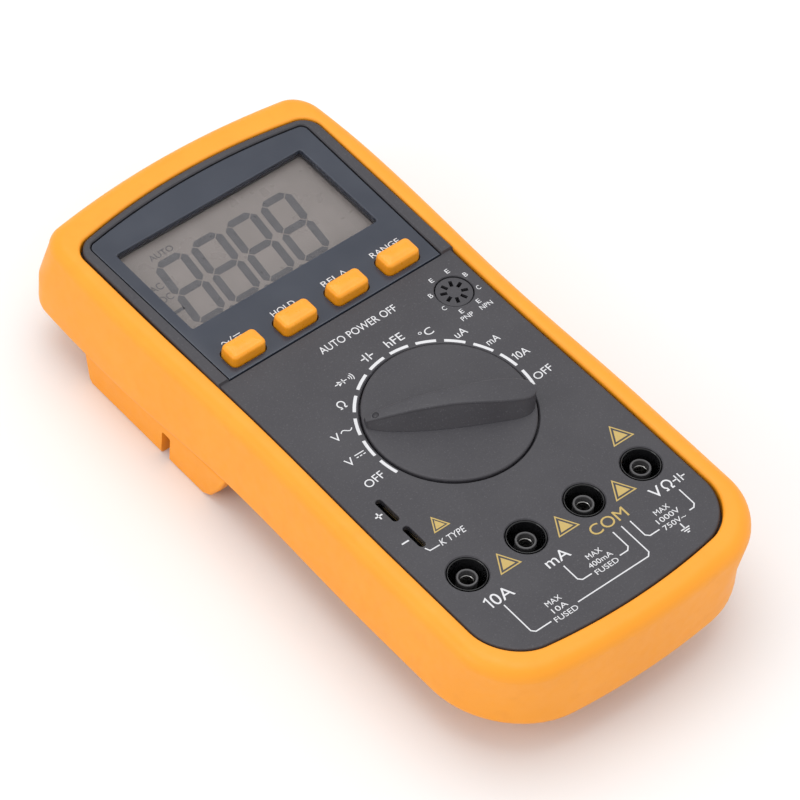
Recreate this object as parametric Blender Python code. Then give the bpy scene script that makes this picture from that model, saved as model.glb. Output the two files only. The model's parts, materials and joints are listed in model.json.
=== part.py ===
"""A handheld digital multimeter in its rubber holster, lying on its back.

Sizes are in millimetres and become metres as each mesh is made. +Z is up out of the face, +Y points from the
jacks to the display, and the origin is under the middle of the holster, on the plane the meter lies on.
"""

import math

import bmesh
import bpy
from mathutils import Matrix, Vector
from mathutils.geometry import interpolate_bezier

MM = 0.001
GAP = 0.35

# Heights above the plane the meter lies on
FACE_Z = 35.0
LIP_Z = 35.7
LIP_UNDER_Z = 31.8
SHOULDER_Z = 31.5
CEILING_Z = 33.4
RIM_Z = 35.8
FASCIA_Z = 35.4
FASCIA_UNDER_Z = 33.9
POCKET_Z = 33.6
POCKET_UNDER_Z = 32.8
LCD_Z = 32.5
PARTING_Z = 22.0
CASE_FLOOR_Z = 13.8
CASE_WALL = 2.0
HOLSTER_BACK_Z = 11.0
HOLSTER_FLOOR_Z = 13.5
BOARD_Z = 23.1
BOARD_THICK = 1.6

# Plan of the nested outlines: half width, lower end, upper end, how far each end bows, corner radii, waist
FOOT_PLAN = dict(half=46.0, low=-96.4, high=96.4, low_bow=5.0, high_bow=4.4, low_r=23.0, high_r=7.0, waist=1.0)
HOLSTER_PLAN = dict(half=45.1, low=-96.2, high=95.4, low_bow=5.0, high_bow=4.4, low_r=16.0, high_r=7.0, waist=1.0)
PANEL_PLAN = dict(half=38.65, low=-88.6, high=86.4, low_bow=4.4, high_bow=4.4, low_r=12.0, high_r=4.5, waist=0.6)
CASE_PLAN = dict(half=41.5, low=-90.7, high=90.0, low_bow=4.4, high_bow=4.4, low_r=14.0, high_r=6.5, waist=0.6)
WAIST_Y = 6.6
WAIST_SPAN = 50.0
HOLSTER_ROUND = 4.0
HOLSTER_TAPER = 0.8
TAPER_FROM_Y = 60.0
TAPER_SPAN = 20.0
FLARE = 0.9
FLARE_FROM_Y = 12.0
FLARE_SPAN = 44.0

# Places of the controls on the face
DIAL = (2.15, -16.9)
DIAL_R = 22.25
DIAL_HOLE_R = 22.62
POINTER_DEG = 153.94
GRIP_HALF = 6.0
GRIP_TALL = 6.1
DETENT_DEG = 18.0
JACK_Y = -58.4
JACK_R = 5.1
JACK_OPENING_R = 5.4
JACK_X = {"10a": -27.55, "ma": -8.55, "com": 10.45, "volt": 29.45}
TRANSISTOR = (29.5, 13.0)
THERMO_X = -30.35
THERMO_SLOTS = {"plus": (-35.4, -27.4), "minus": (-45.4, -37.8)}
BUTTON_Y = 29.7
BUTTON_X = {"button_mode": -26.2, "button_hold": -9.3, "button_relative": 7.6, "button_range": 24.5}
BUTTON_SIZE = (10.9, 6.3)
BUTTON_TOP_Z = 39.0
STEP_Y = 24.3
FASCIA_X = (-35.6, 35.4)
FASCIA_Y = (24.6, 83.9)
WINDOW_X = (-31.8, 29.2)
WINDOW_Y = (43.1, 74.4)
CASE_SCREWS = ((-31.0, -80.0), (31.0, -80.0), (-33.0, 81.6), (33.0, 81.6))

# Back of the meter
RAIL_X = (30.0, 44.4)
RAIL_GROOVE_X = 37.2
RAIL_GROOVE_R = 4.7
RAIL_GROOVE_Z = 5.0
RAIL_MOUTH = 7.6
RAIL_NOTCH_Y = (35.3, 38.6)
HUMP_X = 28.6
HUMP_Y = (12.6, 76.0)
HUMP_Z = 0.6
STAND_X = 24.0
STAND_Y = -66.0
STAND_DEEP = 9.0
STAND_PIVOT = (6.2, 4.6)
STAND_BARREL_R = 4.4
DOOR_SCREW = (0.0, 17.1)
PIN_R = 1.5

FINISHES = {
    "holster_rubber": ((0.95, 0.42, 0.05), 0.55, 0.0),
    "panel_plastic": ((0.13, 0.13, 0.135), 0.6, 0.0),
    "fascia": ((0.09, 0.10, 0.14), 0.25, 0.0),
    "window": ((0.75, 0.75, 0.75), 0.05, 0.0),
    "lcd": ((0.30, 0.28, 0.26), 0.3, 0.0),
    "white_plastic": ((0.75, 0.75, 0.72), 0.5, 0.0),
    "zebra": ((0.25, 0.25, 0.27), 0.7, 0.0),
    "board": ((0.03, 0.22, 0.09), 0.45, 0.0),
    "button_plastic": ((0.95, 0.45, 0.06), 0.4, 0.0),
    "silicone": ((0.35, 0.35, 0.37), 0.7, 0.0),
    "black_plastic": ((0.01, 0.01, 0.011), 0.2, 0.0),
    "brass": ((0.72, 0.55, 0.28), 0.3, 1.0),
    "steel": ((0.6, 0.6, 0.62), 0.3, 1.0),
    "fuse_glass": ((0.8, 0.85, 0.85), 0.1, 0.0),
    "battery_jacket": ((0.05, 0.05, 0.06), 0.4, 0.0),
}


def clear_scene():
    for item in list(bpy.data.objects):
        bpy.data.objects.remove(item, do_unlink=True)


def finish(name):
    """The material of this name, made the first time it is asked for."""
    if name in bpy.data.materials:
        return bpy.data.materials[name]
    color, roughness, metallic = FINISHES[name]
    material = bpy.data.materials.new(name)
    material.use_nodes = True
    shader = material.node_tree.nodes["Principled BSDF"]
    shader.inputs["Base Color"].default_value = (*color, 1.0)
    shader.inputs["Roughness"].default_value = roughness
    shader.inputs["Metallic"].default_value = metallic
    return material


# Mesh makers


def solid(name, mesh_in_mm, material):
    """An object from a bmesh in millimetres, which it frees."""
    bmesh.ops.recalc_face_normals(mesh_in_mm, faces=mesh_in_mm.faces)
    bmesh.ops.scale(mesh_in_mm, vec=(MM, MM, MM), verts=mesh_in_mm.verts)
    mesh = bpy.data.meshes.new(name)
    mesh_in_mm.to_mesh(mesh)
    mesh_in_mm.free()
    mesh.materials.append(finish(material))
    mesh.shade_smooth()
    mesh.set_sharp_from_angle(angle=math.radians(35))
    made = bpy.data.objects.new(name, mesh)
    bpy.context.scene.collection.objects.link(made)
    return made


def loft(name, rings, material, ring_shaped=False):
    """Rings of points joined in turn. The two ends are capped, or joined to each other if ring_shaped."""
    shape = bmesh.new()
    rows = [[shape.verts.new(point) for point in ring] for ring in rings]
    if ring_shaped:
        pairs = zip(rows, rows[1:] + rows[:1])
    else:
        pairs = zip(rows, rows[1:])
        shape.faces.new(rows[0][::-1])
        shape.faces.new(rows[-1])
    for low, high in pairs:
        for i, corner in enumerate(low):
            j = (i + 1) % len(low)
            shape.faces.new((corner, low[j], high[j], high[i]))
    return solid(name, shape, material)


def turned(name, centre, profile, material, sides=32, ring_shaped=False):
    """A profile of (radius, height) turned about the vertical line through centre."""
    angles = [math.tau * i / sides for i in range(sides)]
    rings = [
        [(centre[0] + r * math.cos(a), centre[1] + r * math.sin(a), z) for a in angles] for r, z in profile
    ]
    return loft(name, rings, material, ring_shaped)


def block(name, x, y, z, material, bevel=0.0, segments=2):
    """A box between the limits x, y and z, with all its edges rounded by bevel."""
    shape = bmesh.new()
    bmesh.ops.create_cube(shape, size=1.0)
    size = (x[1] - x[0], y[1] - y[0], z[1] - z[0])
    middle = (sum(x) / 2, sum(y) / 2, sum(z) / 2)
    bmesh.ops.scale(shape, vec=size, verts=shape.verts)
    bmesh.ops.translate(shape, vec=middle, verts=shape.verts)
    if bevel:
        bmesh.ops.bevel(shape, geom=shape.edges, offset=bevel, segments=segments, affect="EDGES", profile=0.5)
    return solid(name, shape, material)


def rounded_post(name, centre, size, z, radius, material, crown=0.0, steps=3):
    """An upright post with a rounded rectangle for its plan, and its upper edge rounded by crown."""
    levels = [(0.0, z[0])]
    for k in range(steps + 1):
        angle = math.radians(90 * k / steps)
        levels.append((crown * (1 - math.cos(angle)), z[1] - crown * (1 - math.sin(angle))))
    if not crown:
        levels = [(0.0, z[0]), (0.0, z[1])]
    rings = []
    for inset, height in levels:
        half_x = size[0] / 2 - inset
        half_y = size[1] / 2 - inset
        corner = max(radius - inset, 0.3)
        rings.append(rounded_rectangle(centre, half_x, half_y, corner, height, steps))
    return loft(name, rings, material)


def rounded_rectangle(centre, half_x, half_y, corner, height, steps=3):
    ring = []
    for quadrant, (sx, sy) in enumerate(((1, 1), (-1, 1), (-1, -1), (1, -1))):
        for k in range(steps + 1):
            angle = math.radians(90 * (quadrant + k / steps))
            x = centre[0] + sx * (half_x - corner) + corner * math.cos(angle)
            y = centre[1] + sy * (half_y - corner) + corner * math.sin(angle)
            ring.append((x, y, height))
    return ring


def rod(name, start, end, radius, material, sides=16):
    """A straight round bar from start to end."""
    start = Vector(start)
    end = Vector(end)
    turn = (end - start).to_track_quat("Z", "Y").to_matrix().to_4x4()
    shape = bmesh.new()
    bmesh.ops.create_cone(
        shape, cap_ends=True, segments=sides, radius1=radius, radius2=radius, depth=(end - start).length
    )
    bmesh.ops.transform(shape, matrix=Matrix.Translation((start + end) / 2) @ turn, verts=shape.verts)
    return solid(name, shape, material)


def extruded_along_x(name, profile, x, material):
    """A profile of (y, z) points, as a prism between the limits x."""
    return loft(name, [[(level, y, z) for y, z in profile] for level in x], material)


def wire(name, points, radius, material, sides=2):
    """A bent wire through the points, as a curve with a round section."""
    curve = bpy.data.curves.new(name, "CURVE")
    curve.dimensions = "3D"
    curve.bevel_depth = radius * MM
    curve.bevel_resolution = sides
    curve.use_fill_caps = True
    spline = curve.splines.new("POLY")
    spline.points.add(len(points) - 1)
    for slot, point in zip(spline.points, points):
        slot.co = (*(Vector(point) * MM), 1.0)
    curve.materials.append(finish(material))
    made = bpy.data.objects.new(name, curve)
    bpy.context.scene.collection.objects.link(made)
    return made


def combine(base, operation, tools):
    """Joins the tools to base, or cuts them from it. The tools stay as hidden helpers."""
    for tool in tools:
        tool.hide_render = True
        tool.display_type = "WIRE"
        step = base.modifiers.new(tool.name, "BOOLEAN")
        step.operation = operation
        step.solver = "EXACT"
        step.object = tool


def join(base, *tools):
    combine(base, "UNION", tools)


def cut(base, *tools):
    combine(base, "DIFFERENCE", tools)


def hang_on(name, place, children):
    """An empty on a joint's axis, with the pieces that move about it as its children."""
    pivot = bpy.data.objects.new(name, None)
    pivot.location = Vector(place) * MM
    bpy.context.scene.collection.objects.link(pivot)
    for child in children:
        child.parent = pivot
        child.matrix_parent_inverse = Matrix.Translation(-pivot.location)


# Outlines


def side_x(y, half, waist, taper=0.0, flare=0.0):
    """How far the side stands from the centre line: in at the waist and the upper end, out by the flare."""
    away = min(abs(y - WAIST_Y) / WAIST_SPAN, 1.0)
    upper = max(y - TAPER_FROM_Y, 0.0) / TAPER_SPAN
    spread = min(max((y - FLARE_FROM_Y) / FLARE_SPAN, 0.0), 1.0)
    out = flare * (0.5 - 0.5 * math.cos(math.pi * spread))
    return half - waist * (0.5 + 0.5 * math.cos(math.pi * away)) - taper * upper**2 + out


def rounded_corner(start, start_way, end, end_way, radius):
    """Points of a corner between two edges, without its first and last."""
    reach = 0.5523 * radius
    first = Vector((*start, 0.0))
    last = Vector((*end, 0.0))
    leave = first + Vector((*start_way, 0.0)).normalized() * reach
    arrive = last - Vector((*end_way, 0.0)).normalized() * reach
    points = interpolate_bezier(first, leave, arrive, last, 6)
    return [(point.x, point.y) for point in points[1:-1]]


def plan_ring(plan, z, inset=0.0, taper=0.0, flare=0.0):
    """The closed outline of a plan at height z, anticlockwise, set in by inset."""
    half = plan["half"] - inset
    low = plan["low"] + inset
    high = plan["high"] - inset
    low_r = max(plan["low_r"] - inset, 1.5)
    high_r = max(plan["high_r"] - inset, 1.5)
    low_end = half - low_r

    def side(y):
        return side_x(y, half, plan["waist"], taper, flare)

    def low_y(x):
        return low + plan["low_bow"] * (x / half) ** 2

    def high_y(x):
        return high - plan["high_bow"] * (x / half) ** 2

    side_low = low_y(half) + low_r
    side_high = high_y(half) - high_r
    high_end = side(side_high) - high_r
    right = [(low_end * k / 4, low_y(low_end * k / 4)) for k in range(5)]
    foot = (side(side_low), side_low)
    low_slope = 2 * plan["low_bow"] * low_end / half**2
    right += rounded_corner(right[-1], (1.0, low_slope), foot, (0.0, 1.0), low_r)
    steps = 8
    for k in range(steps + 1):
        y = side_low + (side_high - side_low) * k / steps
        right.append((side(y), y))
    head = (high_end, high_y(high_end))
    high_slope = 2 * plan["high_bow"] * high_end / half**2
    lean = side(side_high) - side(side_high - 1.0)
    right += rounded_corner(right[-1], (lean, 1.0), head, (-1.0, high_slope), high_r)
    right += [(high_end * (4 - k) / 4, high_y(high_end * (4 - k) / 4)) for k in range(5)]
    left = [(-x, y) for x, y in right[-2:0:-1]]
    return [(x, y, z) for x, y in right + left]


def round_under(plan, z, radius, taper=0.0, flare=0.0, steps=3):
    """Rings of a rounded lower edge, from the flat underside out to the wall."""
    rings = []
    for k in range(steps + 1):
        angle = math.radians(90 * k / steps)
        height = z + radius * (1 - math.cos(angle))
        rings.append(plan_ring(plan, height, radius * (1 - math.sin(angle)), taper, flare))
    return rings


def round_over(plan, z, radius, taper=0.0, steps=4):
    """Rings of a rounded upper edge, from the wall in to the flat top."""
    rings = []
    for k in range(steps + 1):
        angle = math.radians(90 * k / steps)
        height = z - radius * (1 - math.sin(angle))
        rings.append(plan_ring(plan, height, radius * (1 - math.cos(angle)), taper))
    return rings


# Holster and stand


def probe_rail(side):
    """A block on the holster's back that a test probe clips into, split by a notch for its finger guard."""
    profile = [
        (13.4, 12.3),
        (15.8, 6.4),
        (18.9, 1.6),
        (21.6, 0.0),
        (67.4, 0.0),
        (68.8, 1.2),
        (71.6, 12.3),
    ]
    limits = sorted(side * x for x in RAIL_X)
    return extruded_along_x(f"rail_block_{side}", profile, limits, "holster_rubber")


def rail_cutters(side):
    x = side * RAIL_GROOVE_X
    groove = rod(
        f"rail_groove_{side}",
        (x, 5.0, RAIL_GROOVE_Z),
        (x, 85.0, RAIL_GROOVE_Z),
        RAIL_GROOVE_R,
        "holster_rubber",
        sides=20,
    )
    half = RAIL_MOUTH / 2
    mouth = block(f"rail_mouth_{side}", (x - half, x + half), (4.0, 86.0), (-3.0, 4.0), "holster_rubber")
    limits = sorted((side * (RAIL_X[0] - 3), side * (RAIL_X[1] + 3)))
    notch = block(f"rail_notch_{side}", limits, RAIL_NOTCH_Y, (-3.0, 8.4), "holster_rubber")
    return groove, mouth, notch


def stand_lug(side):
    """An ear under the holster that holds one end of the stand's hinge pin."""
    y, z = STAND_PIVOT
    turns = [math.radians(180 + 180 * k / 8) for k in range(9)]
    profile = [(y + 4.0 * math.cos(a), z + 4.0 * math.sin(a)) for a in turns]
    profile += [(y + 4.0, 12.3), (y - 4.0, 12.3)]
    limits = sorted((side * (STAND_X + 0.5), side * (STAND_X + 4.1)))
    return extruded_along_x(f"stand_lug_{side}", profile, limits, "holster_rubber")


def build_holster():
    taper = HOLSTER_TAPER
    opening = dict(PANEL_PLAN, half=39.1, low=-89.05, high=86.85)
    pocket = dict(CASE_PLAN, half=41.9, low=-91.1, high=90.4)
    rings = round_under(FOOT_PLAN, HOLSTER_BACK_Z, HOLSTER_ROUND, taper / 2, FLARE)
    rings.append(plan_ring(FOOT_PLAN, 22.5, 0.0, taper / 2, FLARE))
    rings += round_over(HOLSTER_PLAN, LIP_Z, HOLSTER_ROUND, taper)
    rings.append(plan_ring(opening, LIP_Z, -0.7))
    rings.append(plan_ring(opening, LIP_Z - 0.6))
    rings.append(plan_ring(opening, LIP_UNDER_Z))
    rings.append(plan_ring(pocket, LIP_UNDER_Z))
    rings.append(plan_ring(pocket, HOLSTER_FLOOR_Z))
    holster = loft("holster", rings, "holster_rubber")
    y, z = STAND_PIVOT
    for side in (-1, 1):
        join(holster, probe_rail(side), stand_lug(side))
    for side in (-1, 1):
        cut(holster, *rail_cutters(side))
        reach = (side * (STAND_X - 2.0), side * (STAND_X + 3.2))
        hole = rod(f"lug_hole_{side}", (reach[0], y, z), (reach[1], y, z), PIN_R + GAP, "holster_rubber", 20)
        cut(holster, hole)
    margin = 0.5
    window = block(
        "hump_window",
        (-HUMP_X - margin, HUMP_X + margin),
        (HUMP_Y[0] - margin, HUMP_Y[1] + margin),
        (8.0, 16.0),
        "holster_rubber",
    )
    cut(holster, window)
    return holster


def build_stand():
    y, z = STAND_PIVOT
    stand = block("tilt_stand", (-STAND_X, STAND_X), (STAND_Y, y), (0.0, STAND_DEEP), "panel_plastic", 1.0)
    barrel = rod("stand_barrel", (-STAND_X, y, z), (STAND_X, y, z), STAND_BARREL_R, "panel_plastic", 24)
    tray = block(
        "stand_tray", (-STAND_X + 2.4, STAND_X - 2.4), (STAND_Y + 2.4, 0.4), (2.6, 14.0), "panel_plastic"
    )
    join(stand, barrel)
    cut(stand, tray)
    for side, name in ((-1, "stand_pin_left"), (1, "stand_pin_right")):
        inner = side * (STAND_X - 5.5)
        outer = side * (STAND_X + 5.0)
        hole = rod(f"pin_hole_{side}", (side * (STAND_X - 6.0), y, z), (outer, y, z), PIN_R + GAP, "steel", 20)
        cut(stand, hole)
        rod(name, (inner, y, z), (side * (STAND_X + 2.9), y, z), PIN_R, "steel", 16)
    hang_on("stand_pivot", (0.0, y, z), [stand])


# Cases


def screw_boss(index, place, radius, z):
    return turned(f"boss_{index}_{z[0]}", place, [(radius, z[0]), (radius, z[1])], "panel_plastic", 12)


def build_front_case():
    rings = [plan_ring(CASE_PLAN, PARTING_Z + 0.15)]
    rings += round_over(CASE_PLAN, SHOULDER_Z, 1.0, steps=1)
    rings.append(plan_ring(PANEL_PLAN, SHOULDER_Z))
    rings += round_over(PANEL_PLAN, FACE_Z, 0.5, steps=2)
    outside = rings
    inner = [
        plan_ring(CASE_PLAN, 29.6, CASE_WALL),
        plan_ring(CASE_PLAN, PARTING_Z + 0.15, CASE_WALL),
    ]
    ceiling = [plan_ring(PANEL_PLAN, CEILING_Z, CASE_WALL), plan_ring(PANEL_PLAN, 29.6, CASE_WALL)]
    case = loft("front_case", ceiling + inner + outside, "panel_plastic")
    join(case, display_surround(), display_floor(), dial_seat(), detent_ring())
    for index, place in enumerate(CASE_SCREWS):
        join(case, screw_boss(index, place, 3.2, (17.2, 30.6)))
    cut(case, fascia_pocket())
    cut(case, block("lcd_opening", WINDOW_X, WINDOW_Y, (30.0, 36.0), "panel_plastic"))
    for name, x in BUTTON_X.items():
        cut(case, button_hole(name, x, (30.0, 36.0)))
    cut(case, turned("dial_opening", DIAL, [(DIAL_HOLE_R, 32.6), (DIAL_HOLE_R, 38.0)], "panel_plastic", 56))
    cut(case, turned("dial_throat", DIAL, [(13.8, 30.4), (13.8, 33.0)], "panel_plastic", 24))
    for name, x in JACK_X.items():
        profile = [(JACK_OPENING_R, 31.0), (JACK_OPENING_R, 37.0)]
        cut(case, turned(f"jack_opening_{name}", (x, JACK_Y), profile, "panel_plastic", 28))
    cut(case, turned("transistor_opening", TRANSISTOR, [(5.2, 31.0), (5.2, 37.0)], "panel_plastic", 24))
    for name, limits in THERMO_SLOTS.items():
        x = (THERMO_X - 1.0, THERMO_X + 1.0)
        cut(case, block(f"thermo_slot_{name}", x, limits, (31.0, 37.0), "panel_plastic"))
    for index, place in enumerate(CASE_SCREWS):
        cut(case, screw_boss(f"bore_{index}", place, 1.75, (16.0, 30.0)))


def display_surround():
    """The raised frame of the display end, a little above the lower panel."""
    below = dict(PANEL_PLAN)
    rings = [plan_ring(below, 34.0), plan_ring(below, RIM_Z - 0.5), plan_ring(below, RIM_Z, 0.5)]
    rings = [[(x, max(y, STEP_Y), z) for x, y, z in ring] for ring in rings]
    surround = bmesh.new()
    for ring in rings:
        for point in ring:
            surround.verts.new(point)
    bmesh.ops.remove_doubles(surround, verts=surround.verts, dist=0.001)
    bmesh.ops.convex_hull(surround, input=surround.verts)
    return solid("display_surround", surround, "panel_plastic")


def display_floor():
    """The thin plate under the fascia, which the display looks through."""
    return block("display_floor", (-36.6, 36.4), (23.6, 82.0), (POCKET_UNDER_Z, 34.4), "panel_plastic")


def fascia_ring(z, inset=0.0):
    """The fascia's outline: square at the foot, and bowed at the head between small corners."""
    left = FASCIA_X[0] + inset
    right = FASCIA_X[1] - inset
    middle = (left + right) / 2
    low = FASCIA_Y[0] + inset
    high = FASCIA_Y[1] - inset
    corner = 2.2 - inset
    bow = 2.9
    ring = [(left + 0.8, low), (right - 0.8, low)]
    turns = [math.radians(90 * k / 4) for k in range(5)]
    ring += [(right - corner + corner * math.cos(a), high - bow - corner + corner * math.sin(a)) for a in turns]
    span = right - middle - corner
    ring += [(middle + span * k / 5, high - bow * (k / 5) ** 2) for k in (4, 3, 2, 1, 0, -1, -2, -3, -4)]
    ring += [(left + corner - corner * math.sin(a), high - bow - corner + corner * math.cos(a)) for a in turns]
    return [(x, y, z) for x, y in ring]


def fascia_pocket():
    rings = [fascia_ring(POCKET_Z, -GAP), fascia_ring(38.0, -GAP)]
    return loft("fascia_pocket", rings, "panel_plastic")


def dial_seat():
    return turned("dial_seat", DIAL, [(24.6, 31.0), (24.6, 34.2)], "panel_plastic", 40)


def detent_ring():
    """A ring of notches under the dial's seat, one for each place of the dial."""
    lobes = round(360 / DETENT_DEG)
    start = math.radians(POINTER_DEG + 90)
    rows = []
    for z in (31.5, 27.2):
        inner = []
        outer = []
        for k in range(2 * lobes):
            angle = start + math.pi * k / lobes
            radius = 15.6 if k % 2 == 0 else 15.1
            inner.append((DIAL[0] + radius * math.cos(angle), DIAL[1] + radius * math.sin(angle), z))
            outer.append((DIAL[0] + 17.2 * math.cos(angle), DIAL[1] + 17.2 * math.sin(angle), z))
        rows.append((inner, outer))
    (inner_high, outer_high), (inner_low, outer_low) = rows
    return loft("detent_ring", [inner_low, inner_high, outer_high, outer_low], "panel_plastic", ring_shaped=True)


def build_rear_case():
    rings = [plan_ring(CASE_PLAN, CASE_FLOOR_Z + CASE_WALL, CASE_WALL)]
    rings.append(plan_ring(CASE_PLAN, PARTING_Z - 0.15, CASE_WALL))
    rings.append(plan_ring(CASE_PLAN, PARTING_Z - 0.15))
    rings += round_under(CASE_PLAN, CASE_FLOOR_Z, 1.2, steps=1)[::-1]
    case = loft("rear_case", rings, "panel_plastic")
    ledge = 1.5
    wall = 1.8
    hump = block("hump", (-HUMP_X, HUMP_X), HUMP_Y, (HUMP_Z, 14.9), "panel_plastic", 0.8, 1)
    x = HUMP_X - wall
    y = (HUMP_Y[0] + wall, HUMP_Y[1] - wall)
    doorway = block("hump_doorway", (-x, x), y, (-2.0, 2.7), "panel_plastic")
    bay = block("hump_bay", (-x + ledge, x - ledge), (y[0] + ledge, y[1] - ledge), (1.0, 18.0), "panel_plastic")
    join(case, hump)
    for index, place in enumerate(CASE_SCREWS):
        join(case, screw_boss(index + 4, place, 4.3, (14.6, 16.8)))
    cut(case, doorway, bay)
    for index, place in enumerate(CASE_SCREWS):
        cut(case, screw_boss(f"head_{index}", place, 3.2, (12.0, 15.6)))
        cut(case, screw_boss(f"shank_{index}", place, 1.8, (14.0, 18.0)))
    join(case, turned("door_screw_boss", DOOR_SCREW, [(2.5, 2.9), (2.5, 14.6)], "panel_plastic", 16))
    cut(case, turned("door_screw_bore", DOOR_SCREW, [(1.6, -2.0), (1.6, 9.0)], "panel_plastic", 16))


# Display


def build_display():
    fascia = loft(
        "display_fascia",
        [fascia_ring(FASCIA_UNDER_Z), fascia_ring(FASCIA_Z - 0.3), fascia_ring(FASCIA_Z, 0.3)],
        "fascia",
    )
    cut(fascia, block("fascia_window", WINDOW_X, WINDOW_Y, (30.0, 40.0), "fascia"))
    for name, x in BUTTON_X.items():
        cut(fascia, button_hole(f"fascia_{name}", x, (30.0, 40.0)))
    x = (WINDOW_X[0] + GAP, WINDOW_X[1] - GAP)
    y = (WINDOW_Y[0] + GAP, WINDOW_Y[1] - GAP)
    block("display_window", x, y, (FASCIA_UNDER_Z, FASCIA_Z - 0.1), "window", 0.2, 1)
    centre = (sum(WINDOW_X) / 2, sum(WINDOW_Y) / 2)
    lcd_half = (33.0, 18.0)
    lcd_x = (centre[0] - lcd_half[0], centre[0] + lcd_half[0])
    lcd_y = (centre[1] - lcd_half[1], centre[1] + lcd_half[1])
    block("lcd_glass", lcd_x, lcd_y, (LCD_Z - 2.8, LCD_Z), "lcd")
    build_lcd_holder(centre, lcd_x, lcd_y)


def build_lcd_holder(centre, lcd_x, lcd_y):
    foot = BOARD_Z + GAP
    outer = block(
        "lcd_holder",
        (lcd_x[0] - 1.2, lcd_x[1] + 1.2),
        (lcd_y[0] - 1.2, lcd_y[1] + 1.2),
        (foot, LCD_Z - 0.7),
        "white_plastic",
    )
    seat_x = (lcd_x[0] - GAP, lcd_x[1] + GAP)
    seat_y = (lcd_y[0] - GAP, lcd_y[1] + GAP)
    seat = block("lcd_seat", seat_x, seat_y, (LCD_Z - 3.1, 40.0), "white_plastic")
    middle = block("lcd_light_well", (lcd_x[0] + 4, lcd_x[1] - 4), (lcd_y[0] + 7, lcd_y[1] - 7), (20, 36), "zebra")
    cut(outer, seat, middle)
    for name, side in (("zebra_strip_lower", -1), ("zebra_strip_upper", 1)):
        y = centre[1] + side * 14.2
        cut(outer, block(f"{name}_slot", (centre[0] - 29.5, centre[0] + 29.5), (y - 1.7, y + 1.7), (20, 36), "zebra"))
        top = LCD_Z - 2.8 - GAP
        block(name, (centre[0] - 29.0, centre[0] + 29.0), (y - 1.3, y + 1.3), (foot, top), "zebra")


# Buttons


def button_hole(name, x, z):
    size = (BUTTON_SIZE[0] + 2 * GAP, BUTTON_SIZE[1] + 2 * GAP)
    return rounded_post(f"{name}_hole", (x, BUTTON_Y), size, z, 1.9, "fascia")


def build_buttons():
    for name, x in BUTTON_X.items():
        centre = (x, BUTTON_Y)
        cap = rounded_post(name, centre, BUTTON_SIZE, (31.8, BUTTON_TOP_Z), 1.6, "button_plastic", crown=1.2)
        flange = block(
            f"{name}_flange",
            (x - 6.5, x + 6.5),
            (BUTTON_Y - 4.2, BUTTON_Y + 4.2),
            (31.1, POCKET_UNDER_Z - GAP),
            "button_plastic",
        )
        stem = block(f"{name}_stem", (x - 2, x + 2), (BUTTON_Y - 2, BUTTON_Y + 2), (30.4, 31.5), "button_plastic")
        join(cap, flange, stem)
        hang_on(f"{name}_slide", (x, BUTTON_Y, 30.4), [cap])
    mat = block("keypad_mat", (-33.6, 31.9), (25.2, 34.2), (BOARD_Z + GAP, BOARD_Z + 1.5), "silicone")
    for name, x in BUTTON_X.items():
        profile = [(3.8, BOARD_Z + 1.0), (3.4, 27.0), (2.2, 27.6), (2.2, 29.0)]
        join(mat, turned(f"{name}_dome", (x, BUTTON_Y), profile, "silicone", 10))


# Selector


def grip_half_width(u):
    """Half the width of the dial's grip at u along it, from its blunt end at -22 to its point at +22."""
    if u > -8.0:
        return GRIP_HALF * math.sqrt(max(1 - ((u + 8.0) / 30.6) ** 2, 0.0))
    return GRIP_HALF * math.sqrt(max(1 - ((u + 8.0) / 14.1) ** 6, 0.0))


def grip_crest_share(u):
    """Width of the grip's top as a share of its foot: wide at the blunt end, narrow from the middle on."""
    blend = min(max((u + 14.0) / 16.0, 0.0), 1.0)
    return 0.62 - 0.18 * (0.5 - 0.5 * math.cos(math.pi * blend))


def grip_height(u):
    if u < -3.0:
        return GRIP_TALL - 2.0 * ((u + 3.0) / 19.0) ** 2
    return GRIP_TALL - 4.2 * ((u + 3.0) / 25.0) ** 2.5


def build_grip():
    along = Vector((math.cos(math.radians(POINTER_DEG)), math.sin(math.radians(POINTER_DEG)), 0.0))
    across = Vector((-along.y, along.x, 0.0))
    centre = Vector((*DIAL, 0.0))
    rings = []
    for u in (-21.6, -20.6, -18.6, -15.0, -10.0, -4.0, 2.0, 8.0, 13.0, 17.0, 20.0, 21.8):
        foot = grip_half_width(u)
        crest = foot * grip_crest_share(u)
        top = FACE_Z + 0.5 + grip_height(u)
        low = FACE_Z - 0.4
        section = [(-foot, low), (-foot, FACE_Z + 0.7), (-crest - 0.1, top - 0.6), (-crest * 0.75, top)]
        section += [(-v, z) for v, z in section[::-1]]
        rings.append([centre + along * u + across * v + Vector((0, 0, z)) for v, z in section])
    return loft("knob_grip", rings, "panel_plastic")


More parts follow.
